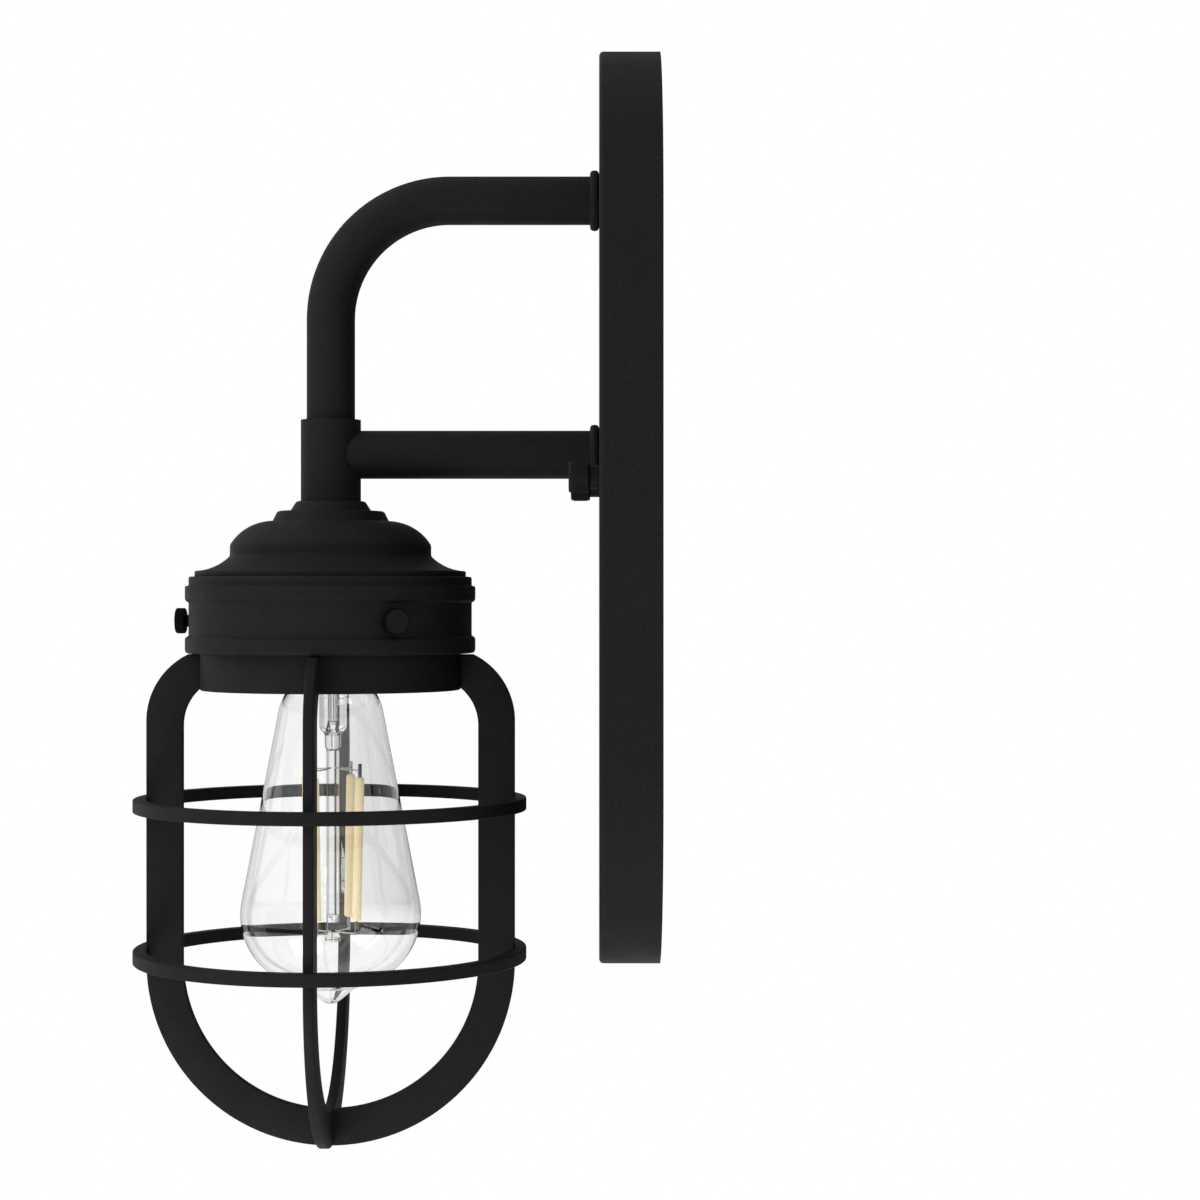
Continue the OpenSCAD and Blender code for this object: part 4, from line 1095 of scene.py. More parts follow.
@dataclass
class Head(Assembly):
    """Canopy cap, bracket, cage holder, its screws and the thumb screws."""

    EASED = (
        ("stem_bush_turned", "stem_bush", 0.3, 2),
        ("head_lock_nut", "head_nut", 0.3, 2),
        ("bracket_strip", "socket_bracket", 0.2, 2),
        ("holder_screw_heads", "holder_screws", 0.25, 2),
    )

    top: float = -7.0
    wall: float = 2.0
    cap_h: float = 27.0
    steps: tuple[Corner, ...] = ((14.5, 3.6, 2.3), (20.7, 3.55, 1.7))
    dome_r: float = 17.55
    band_r: float = 35.8
    flare_r: float = 18.2
    rim_r: float = 48.2
    rim_depth: float = 2.0
    rim_in: float = 38.5
    nipple_bore: float = 4.98
    nipple_l: float = 14.2
    nipple_low: float = -15.2
    holder_r: float = 50.3
    bead_r: float = 51.6
    holder_in: float = 48.6
    holder_top: float = -34.0
    holder_low: float = -61.3
    flange_t: float = 1.5
    boss_r: float = 4.0
    boss_in: float = 46.8
    thumbs: tuple[tuple[str, float], ...] = (
        ("thumb_screw_front", -90.0), ("thumb_screw_left", 150.0), ("thumb_screw_right", 30.0),
    )
    thumb_z: float = -49.7
    thumb_shank: float = 2.25
    thumb_tip: float = 46.6
    thumb_head: Flat = (51.75, 55.4)
    thumb_r: float = 4.5
    thumb_chamfer: Flat = (0.45, 0.4)
    thumb_knurls: int = 36
    knurl_depth: float = 0.16
    screw_at: float = 42.0
    screw_hole: float = 1.6
    screw_turns: tuple[float, ...] = (30.0, 150.0, 270.0)

    def make(self) -> None:
        """Makes the nipple, the cap, the cage holder and the thumb screws."""
        node = "head_nipple"
        nipple = Nipple().cut(self.nipple_l, upright(z=self.nipple_low), node)
        Workshop.gathered("threaded_head_nipple", [nipple], node)
        self.cap()
        self.holder()
        for node, angle in self.thumbs:
            self.thumb_screw(node, angle)

    def cap_side(self, inset: float) -> list[Corner]:
        """Gives the cap's outline from its nipple hole to its rim.

        Args:
            inset: How far inside the outer face it lies.

        Returns:
            Its corners, with their roundings.
        """
        corners: list[Corner] = [(self.nipple_bore, -inset, 0.0)]
        z = -inset
        for foot, h, lean in self.steps:
            corners.append((foot - lean - inset, z, 0.9))
            z -= h
            corners.append((foot - inset, z, 0.5))
        fall = sum(h for _, h, _ in self.steps)
        centre = (self.steps[-1][0], -fall - self.dome_r)
        dome_in = self.dome_r - inset
        band_in = self.band_r - inset
        low = math.degrees(math.acos((band_in - centre[0]) / dome_in))
        corners += plain(arc(centre, dome_in, 90, low, 14))
        corners[-1] = (*corners[-1][:2], 0.9)
        flare = (self.rim_r + 0.5, self.flare_r + self.rim_depth - self.cap_h)
        flare_in = self.flare_r + inset
        rim = self.rim_in if inset else self.rim_r
        start = 180 + math.degrees(math.acos((flare[0] - band_in) / flare_in))
        end = 180 + math.degrees(math.acos((flare[0] - rim) / flare_in))
        run = plain(arc(flare, flare_in, start, end, 14))
        run[0] = (*run[0][:2], 0.9)
        run[-1] = (*run[-1][:2], 0.0 if inset else 0.6)
        return corners + run

    def cap(self) -> None:
        """Makes the canopy cap: steps, dome, band and flare, spun as one shell."""
        outer = self.cap_side(0.0)
        inner = self.cap_side(self.wall)
        rim = [(self.rim_r, -self.cap_h, 0.3), (self.rim_in, -self.cap_h, 0.2)]
        section = rounded(outer + rim + inner[::-1], 4)
        Workshop.shaped("spun_cap", turned(section, 128).placed(upright(z=self.top)), "canopy_cap", 30)

    def thumb_place(self, angle: float) -> Matrix:
        """Gives the place of a thumb screw, from the lamp's axis outwards."""
        turn = math.radians(angle)
        return aimed((0, -REACH, self.thumb_z), (math.cos(turn), math.sin(turn), 0))

    def holder(self) -> None:
        """Makes the cage holder: a beaded ring, with bosses and holes for its screws."""
        top, low, flange = self.holder_top, self.holder_low, self.holder_top - self.flange_t
        wall, bead, bore, rim = self.holder_r, self.bead_r, self.holder_in, self.rim_in
        section = rounded([
            (rim, top, 0.3), (wall, top, 0.8), (wall, top - 3.25, 0.5),
            (bead, top - 3.35, 0.6), (bead, top - 8.5, 0.9), (wall, top - 9.2, 0.4),
            (wall, low + 6.3, 0.4), (bead, low + 5.6, 0.8), (bead, low + 0.1, 1.5),
            (bore, low, 0.4), (bore, flange, 0.5), (rim, flange, 0.3),
        ], 5)
        ring = Workshop.solid("beaded_holder", turned(section, 144).placed(upright()))
        for angle in sorted(turn for _, turn in self.thumbs):
            for meet, inner, outer, r, edge in (
                (Meet.ADDED, self.boss_in, bore + 0.8, self.boss_r, 0.4),
                (Meet.CUT_OUT, self.boss_in - 2, bead + 2, self.thumb_shank + 0.1, 0.0),
            ):
                rod = rounded([(0, inner, 0), (r, inner, edge), (r, outer, 0), (0, outer, 0)], 3, False)
                Workshop.combine(ring, turned(rod, 40).placed(self.thumb_place(angle)), meet)
        hole = [(0.0, -3.0), (self.screw_hole, -3.0), (self.screw_hole, 1.0), (0.0, 1.0)]
        for angle in self.screw_turns:
            turn = math.radians(angle)
            x, y = self.screw_at * math.cos(turn), self.screw_at * math.sin(turn) - REACH
            Workshop.combine(ring, turned(hole, 24).placed(upright(x, y, top)), Meet.CUT_OUT)
        Workshop.finish(ring, "cage_holder", 32)

    def thumb_screw(self, node: str, angle: float) -> None:
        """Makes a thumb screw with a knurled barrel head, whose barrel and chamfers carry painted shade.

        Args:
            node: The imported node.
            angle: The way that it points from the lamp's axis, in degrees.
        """
        under, face = self.thumb_head
        r, shank = self.thumb_r, self.thumb_shank - 0.1
        across, along = self.thumb_chamfer
        section = rounded([
            (0.0, self.thumb_tip, 0.0), (shank, self.thumb_tip, 0.5), (shank, under, 0.2),
            (r - across, under, 0.2), (r, under + along, 0.2),
            (r, face - along, 0.2), (r - across, face, 0.2), (0.0, face, 0.0),
        ], 5, False)
        place = self.thumb_place(angle)
        way = place.col[2].xyz
        length = face - under - 1.0
        ribs = knurl(r - 0.1, under + 0.5, length, self.knurl_depth, self.thumb_knurls, node)
        parts = [(Workshop.loose(turned(section, 64)), place), (ribs, place)]
        obj = Workshop.gathered(f"{node}_turned", parts, node)
        # Painted shade: the barrel, its knurl and the chamfers take a darker copy of the black oxide.
        Workshop.repaint(obj, "knurled_barrel", lambda side: abs(side.normal.dot(way)) < 0.85)


@dataclass
class Cage(Assembly):
    """The cage's collar, its two hoops and its two rings."""

    collar_r: float = 46.3
    collar_wall: float = 1.6
    collar_top: float = -43.05
    collar_low: float = -74.4
    ring_in: float = 65.0
    ring_out: float = 69.87
    ring_h: float = 4.5
    rings: tuple[tuple[str, float], ...] = (("cage_ring_upper", -115.0), ("cage_ring_lower", -168.4))
    bar_t: float = 3.5
    bar_edge: float = 0.45
    front_off: float = -0.9
    out_r: float = 65.77
    in_r: float = 52.7
    out_turn: Corner = (39.3, -85.5, 26.5)
    in_turn: Corner = (35.5, -87.0, 17.2)
    bottom: float = -171.3
    hoop_top: float = -61.65
    slack: float = 0.05

    def make(self) -> None:
        """Makes the collar, the rings and the hoops."""
        out, low, high = self.collar_r, self.collar_low, self.collar_top
        inner = out - self.collar_wall
        section = rounded([(inner, low, 0.7), (out, low, 0.7), (out, high, 0.4), (inner, high, 0.4)], 4)
        Workshop.shaped("collar_band", turned(section, 144).placed(upright()), "cage_collar")
        inner, out = self.ring_in, self.ring_out
        for node, z in self.rings:
            low, high = z - self.ring_h / 2, z + self.ring_h / 2
            section = rounded([(inner, low, 0.3), (out, low, 0.5), (out, high, 0.5), (inner, high, 0.3)], 3)
            Workshop.shaped(f"{node}_bar", turned(section, 180).placed(upright()), node)
        self.hoop("cage_hoop_side", 90.0, False)
        self.hoop("cage_hoop_front", 0.0, True)

    def hoop_paths(self) -> tuple[list[Flat], list[Flat]]:
        """Gives the outer and inner path of half a hoop.

        Returns:
            Two lists of as many points, from the end at the collar to the bottom.
        """
        seat = self.collar_r + self.slack
        x, z, r = self.out_turn
        start = math.degrees(math.asin((self.hoop_top - z) / r))
        outer = arc((x, z), r, start, 0, 30) + arc((0, self.bottom), self.out_r, 0, -90, 60)
        x, z, r = self.in_turn
        start = math.degrees(math.acos((seat - x) / r))
        inner = arc((x, z), r, start, 0, 29) + arc((0, self.bottom), self.in_r, 0, -90, 60)
        return outer, [(seat, self.hoop_top), *inner]

    def bar(self) -> Form:
        """Gives a whole hoop of flat bar with eased edges, across the lamp's axis."""
        outer, inner = self.hoop_paths()
        outer += [(-x, z) for x, z in outer[-2::-1]]
        inner += [(-x, z) for x, z in inner[-2::-1]]
        count = len(outer)
        loop = outer + inner[::-1]
        whole = len(loop)
        inward = []
        for i, (x, z) in enumerate(loop):
            to = Vector(loop[(i + 1) % whole]) - Vector((x, z))
            fro = Vector((x, z)) - Vector(loop[i - 1])
            mean = to.normalized() + fro.normalized()
            inward.append(Vector((mean.y, -mean.x)).normalized() * (2 / max(mean.length, 1.4)))
        edge, half = self.bar_edge, self.bar_t / 2
        levels = [(edge * (1 - math.cos(a)), half - edge + edge * math.sin(a))
                  for a in (math.radians(d) for d in (0, 30, 60, 90))]
        levels = [(inset, -y) for inset, y in reversed(levels)] + levels
        points = [(x + n.x * inset, y, z + n.y * inset) for inset, y in levels
                  for (x, z), n in zip(loop, inward)]
        faces: list[tuple[int, ...]] = []
        for low in range(0, (len(levels) - 1) * whole, whole):
            high = low + whole
            faces += [(low + i, low + (i + 1) % whole, high + (i + 1) % whole, high + i)
                      for i in range(whole)]
        for first in (0, (len(levels) - 1) * whole):
            faces += [(first + i, first + i + 1, first + whole - 2 - i, first + whole - 1 - i)
                      for i in range(count - 1)]
        return Form(points, faces)

    def hoop(self, node: str, turn: float, over: bool) -> None:
        """Makes a hoop with its seats for the rings and its half lap.

        Args:
            node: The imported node.
            turn: The hoop's turn about the lamp's axis, in degrees.
            over: Whether the crossing bar takes the outer half.
        """
        spin = Matrix.Rotation(math.radians(turn), 4, "Z")
        moved, middle = upright(y=self.front_off - REACH) @ spin, upright() @ spin
        obj = Workshop.solid(f"{node}_bar", self.bar().placed(moved if over else middle))
        inner, out = self.ring_in - self.slack, self.ring_out
        for _, z in self.rings:
            low, high = z - self.ring_h / 2 - self.slack, z + self.ring_h / 2 + self.slack
            seat = turned([(inner, low), (out, low), (out, high), (inner, high)], 180)
            Workshop.combine(obj, seat.placed(upright()), Meet.CUT_OUT)
        foot = self.bottom - self.out_r
        split = foot + (self.out_r - self.in_r) / 2
        low, high = (foot - 1.0, split) if over else (split - self.slack, foot + self.out_r)
        lap = self.box(self.bar_t / 2 + self.slack, self.out_r, low, high)
        Workshop.combine(obj, lap.placed(middle if over else moved), Meet.CUT_OUT)
        Workshop.finish(obj, node)

    @staticmethod
    def box(half_x: float, half_y: float, low: float, high: float) -> Form:
        """Gives a box about the lamp's axis."""
        points = [(x, y, z) for z in (low, high) for x, y in
                  ((-half_x, -half_y), (half_x, -half_y), (half_x, half_y), (-half_x, half_y))]
        sides = [(i, (i + 1) % 4, (i + 1) % 4 + 4, i + 4) for i in range(4)]
        return Form(points, [(3, 2, 1, 0), (4, 5, 6, 7), *sides])


@dataclass
class LampHolder(Assembly):
    """Porcelain lamp holder with its rolled screw shell and contacts."""

    EASED = (
        ("porcelain_body", "socket_body", 0.5, 3),
        ("sprung_contact", "socket_contact", 0.15, 2),
        ("side_screws", "socket_screws", 0.25, 2),
    )

    shell_low: float = -70.5
    shell_top: float = -46.1
    shell_r: float = 13.3
    shell_wall: float = 0.28
    rows: int = 69
    thread_depth: float = 0.14
    thread_fade: float = 1.2

    def make(self) -> None:
        """Makes the screw shell, rolled to the lamp's pitch."""
        low, high, r = self.shell_low, self.shell_top, self.shell_r
        wall = turned(sleeve(r, r + self.shell_wall, low, high, self.rows), 72)
        node = "socket_shell"
        shell = RolledRule.grow(
            wall, node,
            Pitch=LAMP_PITCH, Depth=self.thread_depth, Low=low, High=high, Fade=self.thread_fade,
        )
        Workshop.gathered("rolled_socket_shell", [(shell, upright())], node, 60)


@dataclass
class Lamp(Assembly):
    """Filament lamp: base, glass, stem, wires and filaments."""

    KEPT = ("lamp_driver",)
    EASED = (("end_contact", "lamp_contact", 0.3, 2), ("base_insulator", "lamp_insulator", 0.4, 2))

    cap_top: float = -50.4
    cap_low: float = -71.4
    cap_r: float = 12.64
    cap_wall: float = 0.3
    cap_hole: float = 11.05
    cap_rows: int = 70
    thread_depth: float = 0.34
    thread_fade: float = 1.6
    low: float = -186.4
    neck_top: float = -64.4
    neck_r: float = 12.3
    glass_wall: float = 0.55
    neck_c: Flat = (1.0, -85.05)
    neck_curve: float = 17.9
    belly_c: Flat = (6.8, -154.6)
    belly_curve: float = 25.35
    end_curve: float = 39.0
    end_cap: float = 9.0
    stem_r: float = 4.9
    stem_wall: float = 0.6
    stem_low: float = -88.4
    stem_off: float = 0.7
    flare_r: float = 10.7
    flare_z: float = -65.0
    pinch_r: float = 2.9
    pinch_low: float = -94.9
    pump_r: Flat = (1.3, 0.9)
    rod_r: float = 2.3
    rod_wall: float = 0.3
    rod_bore_low: float = -156.6
    foot_r: float = 2.8
    foot_top: float = -161.8
    rod_low: float = -164.4
    rods: int = 4
    filament_r: float = 1.65
    filament_top: float = -105.3
    filament_low: float = -156.5
    filament_rows: int = 30
    top_out: float = 11.5
    low_out: float = 10.1
    first_turn: float = 61.5
    wire_r: float = 0.26
    tab: Flat = (0.75, 0.18)
    tab_turn: float = -16.5
    lead_out: float = 1.6
    lead_r: float = 0.22
    seals: Flat = (1.15, 0.75)
    seal_z: Flat = (-90.3, -85.4)

    def build(self) -> None:
        """Makes the glass, the stem, the base, the filaments and the wires, then the rest."""
        self.glass()
        self.stem()
        self.base()
        self.filaments()
        self.wires()
        super().build()

    def glass_side(self, inset: float) -> list[Flat]:
        """Gives the bulb's outline from its neck to its tip.

        Args:
            inset: How far inside the outer face it lies.

        Returns:
            The points, the last on the axis.
        """
        apart = (self.neck_c[0] - self.belly_c[0], self.neck_c[1] - self.belly_c[1])
        lean = math.asin((self.belly_curve - self.neck_curve) / math.hypot(*apart))
        taper = math.degrees(lean - math.atan2(apart[0], apart[1]))
        drop = math.sqrt((self.end_curve - self.belly_curve) ** 2 - self.belly_c[0] ** 2)
        end_c = (0.0, self.belly_c[1] + drop)
        turn = math.degrees(math.atan2(self.belly_c[1] - end_c[1], self.belly_c[0]))
        neck_in = self.neck_curve - inset
        start = math.degrees(math.acos((self.neck_r - inset + 0.3 - self.neck_c[0]) / neck_in))
        end_in = self.end_curve - inset
        cap = self.end_cap - inset
        stop = -math.degrees(math.acos(cap / end_in))
        points = [(self.neck_r - inset, self.neck_top)]
        points += arc(self.neck_c, neck_in, start, taper, 24)
        upper, lower = points[-1], arc(self.belly_c, self.belly_curve - inset, taper, turn, 56)
        for i in range(1, 24):
            t = i / 24
            points.append((upper[0] + (lower[0][0] - upper[0]) * t, upper[1] + (lower[0][1] - upper[1]) * t))
        points += lower + arc(end_c, end_in, turn, stop, 24)[1:]
        edge = points[-1]
        tip = self.low + inset * 1.6
        drawn = rounded([
            (edge[0], edge[1], 0), (3.6, tip + 1.15, 2.2), (1.7, tip, 0.9), (0.0, tip, 0),
        ], 8, False)
        return points + drawn[1:]

    def glass(self) -> None:
        """Makes the blown bulb as one closed wall with an open neck."""
        section = self.glass_side(0.0)[::-1] + self.glass_side(self.glass_wall)
        Workshop.shaped("blown_bulb", turned(section, 160).placed(upright()), "lamp_glass", 60)

    def stem(self) -> None:
        """Makes the stem: a flared tube with a round bottom, a pinch, a pump tube and a hollow rod."""
        r, seat, low, pinch, foot = self.stem_r, self.flare_z, self.stem_low, self.pinch_low, self.foot_top
        outside = rounded([
            (self.flare_r, seat, 0), (7.0, seat - 1.2, 2.0), (r, seat - 6.2, 2.6), (r, low, 1.5),
            (self.pinch_r, low - 1.8, 0.8), (self.pinch_r, pinch, 0.8), (self.rod_r, pinch - 0.6, 0.4),
            (self.rod_r, foot, 0.6), (self.foot_r, foot - 0.9, 0.6), (self.foot_r, self.rod_low, 0.7),
            (0.0, self.rod_low, 0),
        ], 6, False)
        r -= self.stem_wall
        inside = rounded([
            (self.flare_r, seat + 0.8, 0), (6.4, seat - 0.6, 2.0), (r, seat - 6.2, 2.6), (r, low + 0.3, 1.3),
            (2.2, low - 1.3, 0.7), (0.0, low - 1.8, 0),
        ], 6, False)
        r, bore = self.pump_r
        pump = rounded([
            (0.0, low + 1.4, 0), (r, low + 1.4, 0.4), (r, seat + 0.5, 0.3),
            (bore, seat + 0.5, 0.3), (bore, low + 2.6, 0.5), (0.0, low + 2.2, 0),
        ], 3, False)
        r = self.rod_r - self.rod_wall
        hollow = rounded([
            (0.0, self.rod_bore_low, 0), (r, self.rod_bore_low + 1.2, 0.8), (r, pinch - 1.0, 0.5),
            (0.0, pinch - 0.4, 0),
        ], 5, False)
        place = upright(y=self.stem_off - REACH)
        obj = Workshop.solid("flared_stem", turned(outside[::-1] + inside, 64).placed(place))
        Workshop.combine(obj, turned(hollow, 48).placed(place), Meet.CUT_OUT)
        Workshop.absorb(obj, Workshop.loose(turned(pump, 32)), place)
        Workshop.finish(obj, "lamp_stem", 60)

    def base(self) -> None:
        """Makes the lamp's screw shell, rolled to the thread's pitch."""
        r, top, hole = self.cap_r, self.cap_top, self.cap_hole
        inner, rim = r - self.cap_wall, top - 1.5
        wall = sleeve(r, inner, rim, self.cap_low, self.cap_rows)
        end = rounded([
            (inner, rim, 0), (inner - 0.7, top - 0.4, 0.6), (hole, top - 0.4, 0),
            (hole, top, 0), (r - 0.7, top, 0.6), (r, rim, 0),
        ], 3, False)
        node = "lamp_shell"
        shell = RolledRule.grow(
            turned(wall + end[1:-1], 96), node,
            Pitch=LAMP_PITCH, Depth=self.thread_depth, Low=self.cap_low + 3.5, High=top - 1.0,
            Fade=self.thread_fade,
        )
        Workshop.gathered("rolled_lamp_cap", [(shell, upright())], node, 60)

    def filaments(self) -> None:
        """Makes the four filaments, rods with round ends that lean in towards their feet."""
        lean, rise = self.top_out - self.low_out, self.filament_top - self.filament_low
        length, r = math.hypot(lean, rise), self.filament_r
        section = rounded([(0.0, 0.0, 0), (r, 0.0, 1.3), (r, length, 1.3), (0.0, length, 0)], 7, False)
        half = len(section) // 2
        start = section[half - 1][1]
        step = (length - 2 * start) / self.filament_rows
        section[half:half] = [(r, start + step * i) for i in range(1, self.filament_rows)]
        rod = turned(section, 24).placed(aimed((self.low_out, 0, self.filament_low), (lean, 0, rise)))
        node = "lamp_filaments"
        grown = RingRule.grow(rod, node, Count=self.rods, First_Turn=self.first_turn)
        Workshop.gathered("filament_rods", [(grown, upright(y=self.stem_off - REACH))], node, 60)

    def tab_form(self, out: float, low: float, high: float) -> Form:
        """Gives the flat tab at an end of a filament.

        Args:
            out: Its distance from the rod's axis.
            low: Height of its lower end.
            high: Height of its upper end.

        Returns:
            The tab, turned a little out of the ring of filaments.
        """
        wide, thick = self.tab
        half = rounded([(-wide, low, 0.3), (wide, low, 0.3), (wide, high, 0.3), (-wide, high, 0.3)], 2)
        count = len(half)
        place = Matrix.Translation((out, 0, 0)) @ Matrix.Rotation(math.radians(self.tab_turn), 4, "Z")
        walls = [(i, (i + 1) % count, count + (i + 1) % count, count + i) for i in range(count)]
        faces = [tuple(range(count)), tuple(range(2 * count - 1, count - 1, -1)), *walls]
        return Form([(x, y, z) for x in (thick, -thick) for y, z in half], faces).placed(place)

    def wire_set(self) -> Form:
        """Gives the wires and the tabs that hold one filament."""
        top_z, low_z = self.filament_top + 2.4, self.filament_low - 4.4
        top_out, low_out = self.top_out, self.low_out
        one = Workshop.solid("wire_set", Form())
        for tab in (
            self.tab_form(top_out, self.filament_top - 1.2, top_z + 2.4),
            self.tab_form(low_out, low_z - 0.5, self.filament_low + 1.0),
        ):
            Workshop.absorb(one, Workshop.loose(tab), Matrix.Identity(4))
        for run in (
            [(1.2, 0, top_z + 0.6), (4, 0, top_z + 0.2), (top_out - 1.5, 0, top_z),
             (top_out + 0.3, 0, top_z)],
            [(1.0, 0, low_z + 0.4), (3.4, 0, low_z), (low_out + 0.5, 0, low_z)],
        ):
            wire = StrandRule.grow(Form(run), "lamp_wires", Radius=self.wire_r, Bend=1.5, Sides=10)
            Workshop.absorb(one, wire, Matrix.Identity(4))
        points = [tuple(c / MM for c in v.co) for v in one.data.vertices]
        faces = [tuple(p.vertices) for p in one.data.polygons]
        bpy.data.objects.remove(one)
        return Form(points, faces)

    def wires(self) -> None:
        """Makes the filaments' wires and tabs, and the two leads with their seals in the stem."""
        node, place = "lamp_wires", upright(y=self.stem_off - REACH)
        parts = [(RingRule.grow(self.wire_set(), node, Count=self.rods, First_Turn=self.first_turn), place)]
        for y in (-self.lead_out, self.lead_out):
            run = [(0, y, self.stem_low - 2.0), (0, y, self.neck_top)]
            lead = StrandRule.grow(Form(run), node, Radius=self.lead_r, Bend=1.0, Sides=10)
            parts.append((lead, place))
        low, high = self.seal_z
        for y, r in zip((-self.lead_out, self.lead_out), self.seals):
            bead = rounded([
                (0.0, low, 0), (r * 0.6, low + 0.1, 0.2), (r, low + 1.1, 0.3), (r * 0.4, low + 3.1, 0.6),
                (0.24, high, 0.1), (0.0, high, 0),
            ], 3, False)
            parts.append((Workshop.loose(turned(bead, 20)), upright(y=self.stem_off - REACH + y)))
        obj = Workshop.gathered("support_wires", parts, node, 40)
        Workshop.repaint(obj, "seal_bead", lambda side: low - 0.1 < side.center.z / MM < high + 0.1)


@dataclass
class Wiring(Assembly):
    """The leads from the lamp holder to the pan, and their connectors."""

    lead_r: float = 1.3
    bend: float = 4.0
    ground_r: float = 1.0
    ground_bend: float = 2.4
    ground_z: float = 3.5
    ground_from: Flat = (-13.6, -3.05)
    lead_x: float = 1.5
    terminal_x: float = 9.9
    foot_z: float = -39.95
    jog_z: float = -20.2
    arm_z: float = 9.6
    pan_y: float = -8.3
    pan_jog: float = -28.0
    end_z: float = -44.0
    connector_top: float = -38.0
    connector_l: float = 18.0
    connector_r: float = 5.3
    ground_x: float = 28.0
    ribs: int = 12

    def make(self) -> None:
        """Makes the leads and connectors."""
        for node, side in (("live_lead", 1), ("neutral_lead", -1)):
            x, far, pan = side * self.lead_x, side * self.terminal_x, self.pan_y
            self.strand(node, [
                (far, -REACH, self.foot_z), (far, -REACH, self.jog_z), (x, -REACH, self.jog_z),
                (x, -REACH, self.arm_z), (x, pan, self.arm_z), (x, pan, self.pan_jog),
                (far, pan, self.pan_jog), (far, pan, self.end_z),
            ], self.lead_r, self.bend)
        (x, y), far, z = self.ground_from, -self.ground_x, self.ground_z
        run = [(x, y, z), (far, y, z), (far, self.pan_y, z), (far, self.pan_y, self.end_z)]
        self.strand("ground_lead", run, self.ground_r, self.ground_bend)
        self.connectors()

    def strand(self, node: str, run: list[Point], radius: float, bend: float) -> None:
        """Runs a lead along its path.

        Args:
            node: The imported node.
            run: Corners of the path.
            radius: The lead's radius.
            bend: Radius of its bends.
        """
        grown = StrandRule.grow(Form(run), node, Radius=radius, Bend=bend, Sides=20)
        Workshop.gathered(f"{node}_run", [(grown, Matrix.Identity(4))], node, 50)

    def connectors(self) -> None:
        """Makes the three connectors: ribbed cones with a skirt."""
        node, r, length = "wire_connectors", self.connector_r, self.connector_l
        section = opened(rounded([
            (1.4, 0.0, 0.0), (r, 0.0, 0.4), (r, -3.0, 0.3), (r - 0.9, -3.9, 0.4), (2.6, 1.0 - length, 0.7),
            (1.9, -length, 0.5), (0.0, -length, 0), (0.0, -6.8, 0), (1.4, -6.8, 0),
        ], 3))
        rib = Form(
            [(4.1, -0.28, -4.6), (4.1, 0.28, -4.6), (4.75, 0.12, -4.9), (4.75, -0.12, -4.9),
             (2.6, -0.22, -16.2), (2.6, 0.22, -16.2), (3.15, 0.1, -15.8), (3.15, -0.1, -15.8)],
            [(0, 1, 2, 3), (7, 6, 5, 4), (0, 4, 5, 1), (1, 5, 6, 2), (2, 6, 7, 3), (3, 7, 4, 0)],
        )
        parts = []
        for x in (-self.terminal_x, self.terminal_x, -self.ground_x):
            place = upright(x, self.pan_y, self.connector_top)
            parts.append((Workshop.loose(turned(section, 48)), place))
            parts.append((RingRule.grow(rib, node, Count=self.ribs, First_Turn=0.0), place))
        Workshop.gathered("ribbed_connectors", parts, node, 40)


@dataclass(frozen=True)
class SoftLamp:
    """A square soft lamp: its place and target in metres, its side and its power in watts."""

    name: str
    place: Point
    target: Point
    side: float
    power: float

    def hang(self) -> None:
        """Hangs the lamp and points it."""
        data = bpy.data.lights.new(self.name, "AREA")
        data.size = self.side
        data.energy = self.power
        obj = Workshop.shown(self.name, data)
        obj.location = self.place
        way = Vector(self.target) - Vector(self.place)
        obj.rotation_euler = way.to_track_quat("-Z", "Y").to_euler()


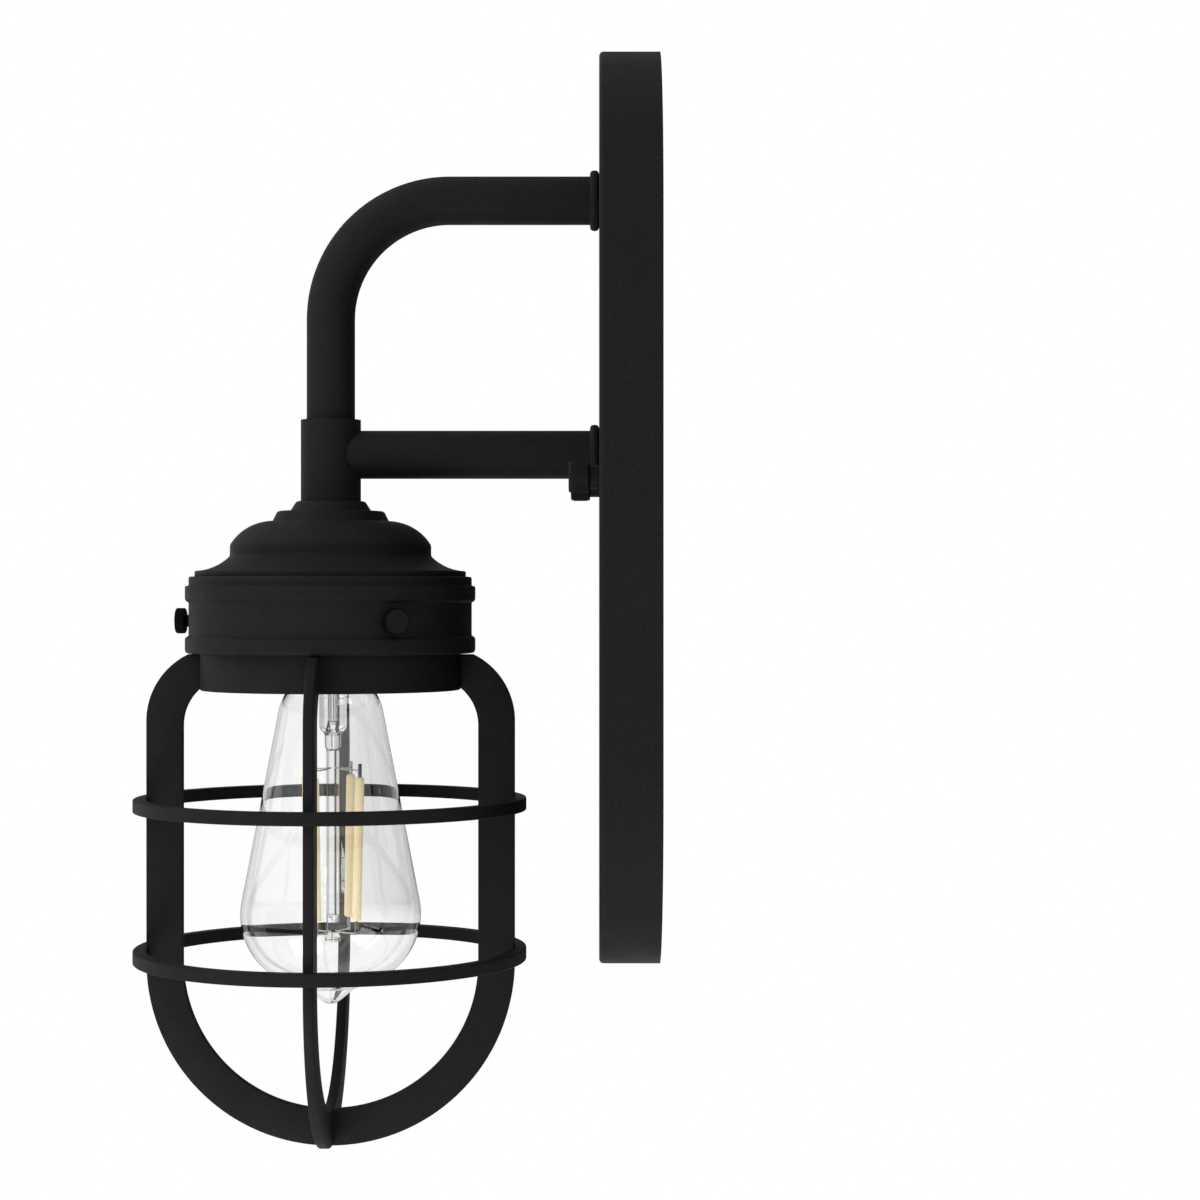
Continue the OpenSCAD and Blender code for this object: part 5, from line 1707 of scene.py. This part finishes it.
@dataclass
class Studio:
    """Camera, world, lamps and floor, in metres.

    The world is white to the eye. As light it is strongest from the left, where the main lamp stands.
    Through glass it is white ahead and grey beside and below, which draws the glass's outline, and a
    grey card stands behind the lamp's right half.
    """

    lamps: tuple[SoftLamp, ...] = (
        SoftLamp("left key", (0.65, -1.25, 1.0), (0.0, -0.1, -0.05), side=1.0, power=8.5),
        SoftLamp("low fill", (0.35, -0.3, -0.58), (0.0, -0.04, -0.12), side=0.4, power=3.0),
    )
    eye: Point = (0.9306, -0.0212, -0.0423)
    view: float = 25.96
    floor_z: float = -0.62
    floor_w: float = 2.8
    bright: float = 1.0
    dim: float = 0.7
    round_grey: float = 0.18
    edge_grey: float = 0.55
    card: tuple[float, float, float, float] = (-0.1, -0.088, -0.125, -0.108)
    card_grey: float = 0.21
    inner_shine: float = 0.55
    gloss_ahead: float = 0.4
    gloss_right: float = 0.35

    def build(self) -> None:
        """Sets up the studio."""
        self.camera()
        self.world()
        for lamp in self.lamps:
            lamp.hang()
        self.floor()

    def camera(self) -> None:
        """Puts the camera level with the light's middle, square to its side."""
        data = bpy.data.cameras.new("camera")
        data.sensor_width = 36.0
        data.lens = data.sensor_width / 2 / math.tan(math.radians(self.view / 2))
        data.clip_start = 0.01
        eye = Workshop.shown("camera", data)
        eye.location = self.eye
        eye.rotation_euler = (math.pi / 2, 0.0, math.pi / 2)
        bpy.context.scene.camera = eye

    def world(self) -> None:
        """Makes the world: plain light, and white behind the light and in its glass."""
        world = bpy.data.worlds.new("studio")
        world.use_nodes = True
        world.node_tree.nodes.clear()
        bench = Bench(world.node_tree)
        path = bench.add("ShaderNodeLightPath").outputs
        way = bench.add("ShaderNodeTexCoord").outputs["Generated"]
        split = tuple(bench.add("ShaderNodeSeparateXYZ", {0: way}).outputs)
        glass = self.through_glass(bench, path, split)
        through = bench.sum_of("MULTIPLY", glass, path["Is Transmission Ray"])
        seen = bench.sum_of("MAXIMUM", through, path["Is Camera Ray"])
        other = bench.sum_of("SUBTRACT", 1.0, path["Is Transmission Ray"])
        level = bench.sum_of("MULTIPLY", self.as_light(bench, path, split), other)
        feeds = {"Color": (1.0, 1.0, 1.0, 1.0), "Strength": bench.sum_of("MAXIMUM", level, seen)}
        sky = bench.add("ShaderNodeBackground", feeds).outputs[0]
        bench.add("ShaderNodeOutputWorld", {"Surface": sky})
        bpy.context.scene.world = world
        bpy.context.scene.view_settings.view_transform = "Standard"

    def as_light(self, bench: Bench, path: Sockets, split: tuple[Socket, ...]) -> Socket:
        """Gives the world's level as light and as what gloss mirrors.

        Args:
            bench: The world's tree.
            path: What kind of ray asks.
            split: The ray's way along each axis.

        Returns:
            The level.
        """
        x, y, _ = split
        level = bench.ramp(y, -0.9, 0.9, self.bright, self.dim)
        behind = bench.sum_of("MULTIPLY", bench.ramp(x, -0.75, -0.3, 1.0, 0.0), path["Is Glossy Ray"])
        ahead = bench.ramp(y, -0.55, -0.3, 1.0, self.gloss_ahead)
        right = bench.ramp(y, -0.05, 0.25, 1.0, self.gloss_right)
        mirrored = bench.sum_of("MULTIPLY", ahead, right)
        change = bench.sum_of("SUBTRACT", mirrored, level)
        return bench.sum_of("MULTIPLY_ADD", behind, change, level)

    def through_glass(self, bench: Bench, path: Sockets, split: tuple[Socket, ...]) -> Socket:
        """Gives the world's level as it shows through glass.

        Args:
            bench: The world's tree.
            path: What kind of ray asks.
            split: The ray's way along each axis.

        Returns:
            The level.
        """
        x, y, z = split
        from_y, to_y, from_z, to_z = self.card
        right = bench.ramp(y, from_y, to_y, 0.0, 1.0)
        card = bench.sum_of("MULTIPLY", right, bench.ramp(z, from_z, to_z, 0.0, 1.0))
        sheet = bench.ramp(bench.sum_of("ABSOLUTE", x), 0.7, 0.86, self.round_grey, 1.0)
        beside = bench.ramp(y, -0.27, -0.16, self.edge_grey, 1.0)
        below = bench.ramp(z, -0.34, -0.2, self.edge_grey, 1.0)
        sheet = bench.sum_of("MULTIPLY", sheet, bench.sum_of("MINIMUM", beside, below))
        sheet = bench.sum_of("MULTIPLY", sheet, bench.sum_of("MULTIPLY_ADD", card, -self.card_grey, 1.0))
        mirrored = bench.sum_of("MINIMUM", path["Glossy Depth"], 1.0)
        lit = bench.sum_of("MINIMUM", path["Diffuse Depth"], 1.0)
        inside = bench.sum_of("MAXIMUM", lit, bench.sum_of("MULTIPLY", mirrored, self.inner_shine))
        return bench.sum_of("MAXIMUM", sheet, inside)

    def floor(self) -> None:
        """Lays a plain pale floor below the light."""
        half, z = self.floor_w / 2 / MM, self.floor_z / MM
        sheet = Form([(-half, -half, z), (half, -half, z), (half, half, z), (-half, half, z)], [(0, 1, 2, 3)])
        obj = Workshop.shown("floor", sheet.mesh("floor"))
        pale = Finish("pale floor", (0.9, 0.9, 0.895), (0.885, 0.885, 0.88), 90.0, (0.7, 0.8), 0.05, 3.0)
        obj.data.materials.append(pale.make())


def corners(box: tuple) -> list[list[float]]:
    """Gives a box as plain lists of numbers."""
    return [[float(c) for c in corner] for corner in box]


def main() -> None:
    """Builds the studio and every sub-assembly in order."""
    logging.basicConfig(level=logging.INFO, format="%(name)s %(message)s")
    Studio().build()
    for assembly in (Plate(), Arms(), Head(), Cage(), LampHolder(), Lamp(), Wiring()):
        log.info("building %s", type(assembly).__name__)
        assembly.build()


if __name__ == "__main__":
    main()
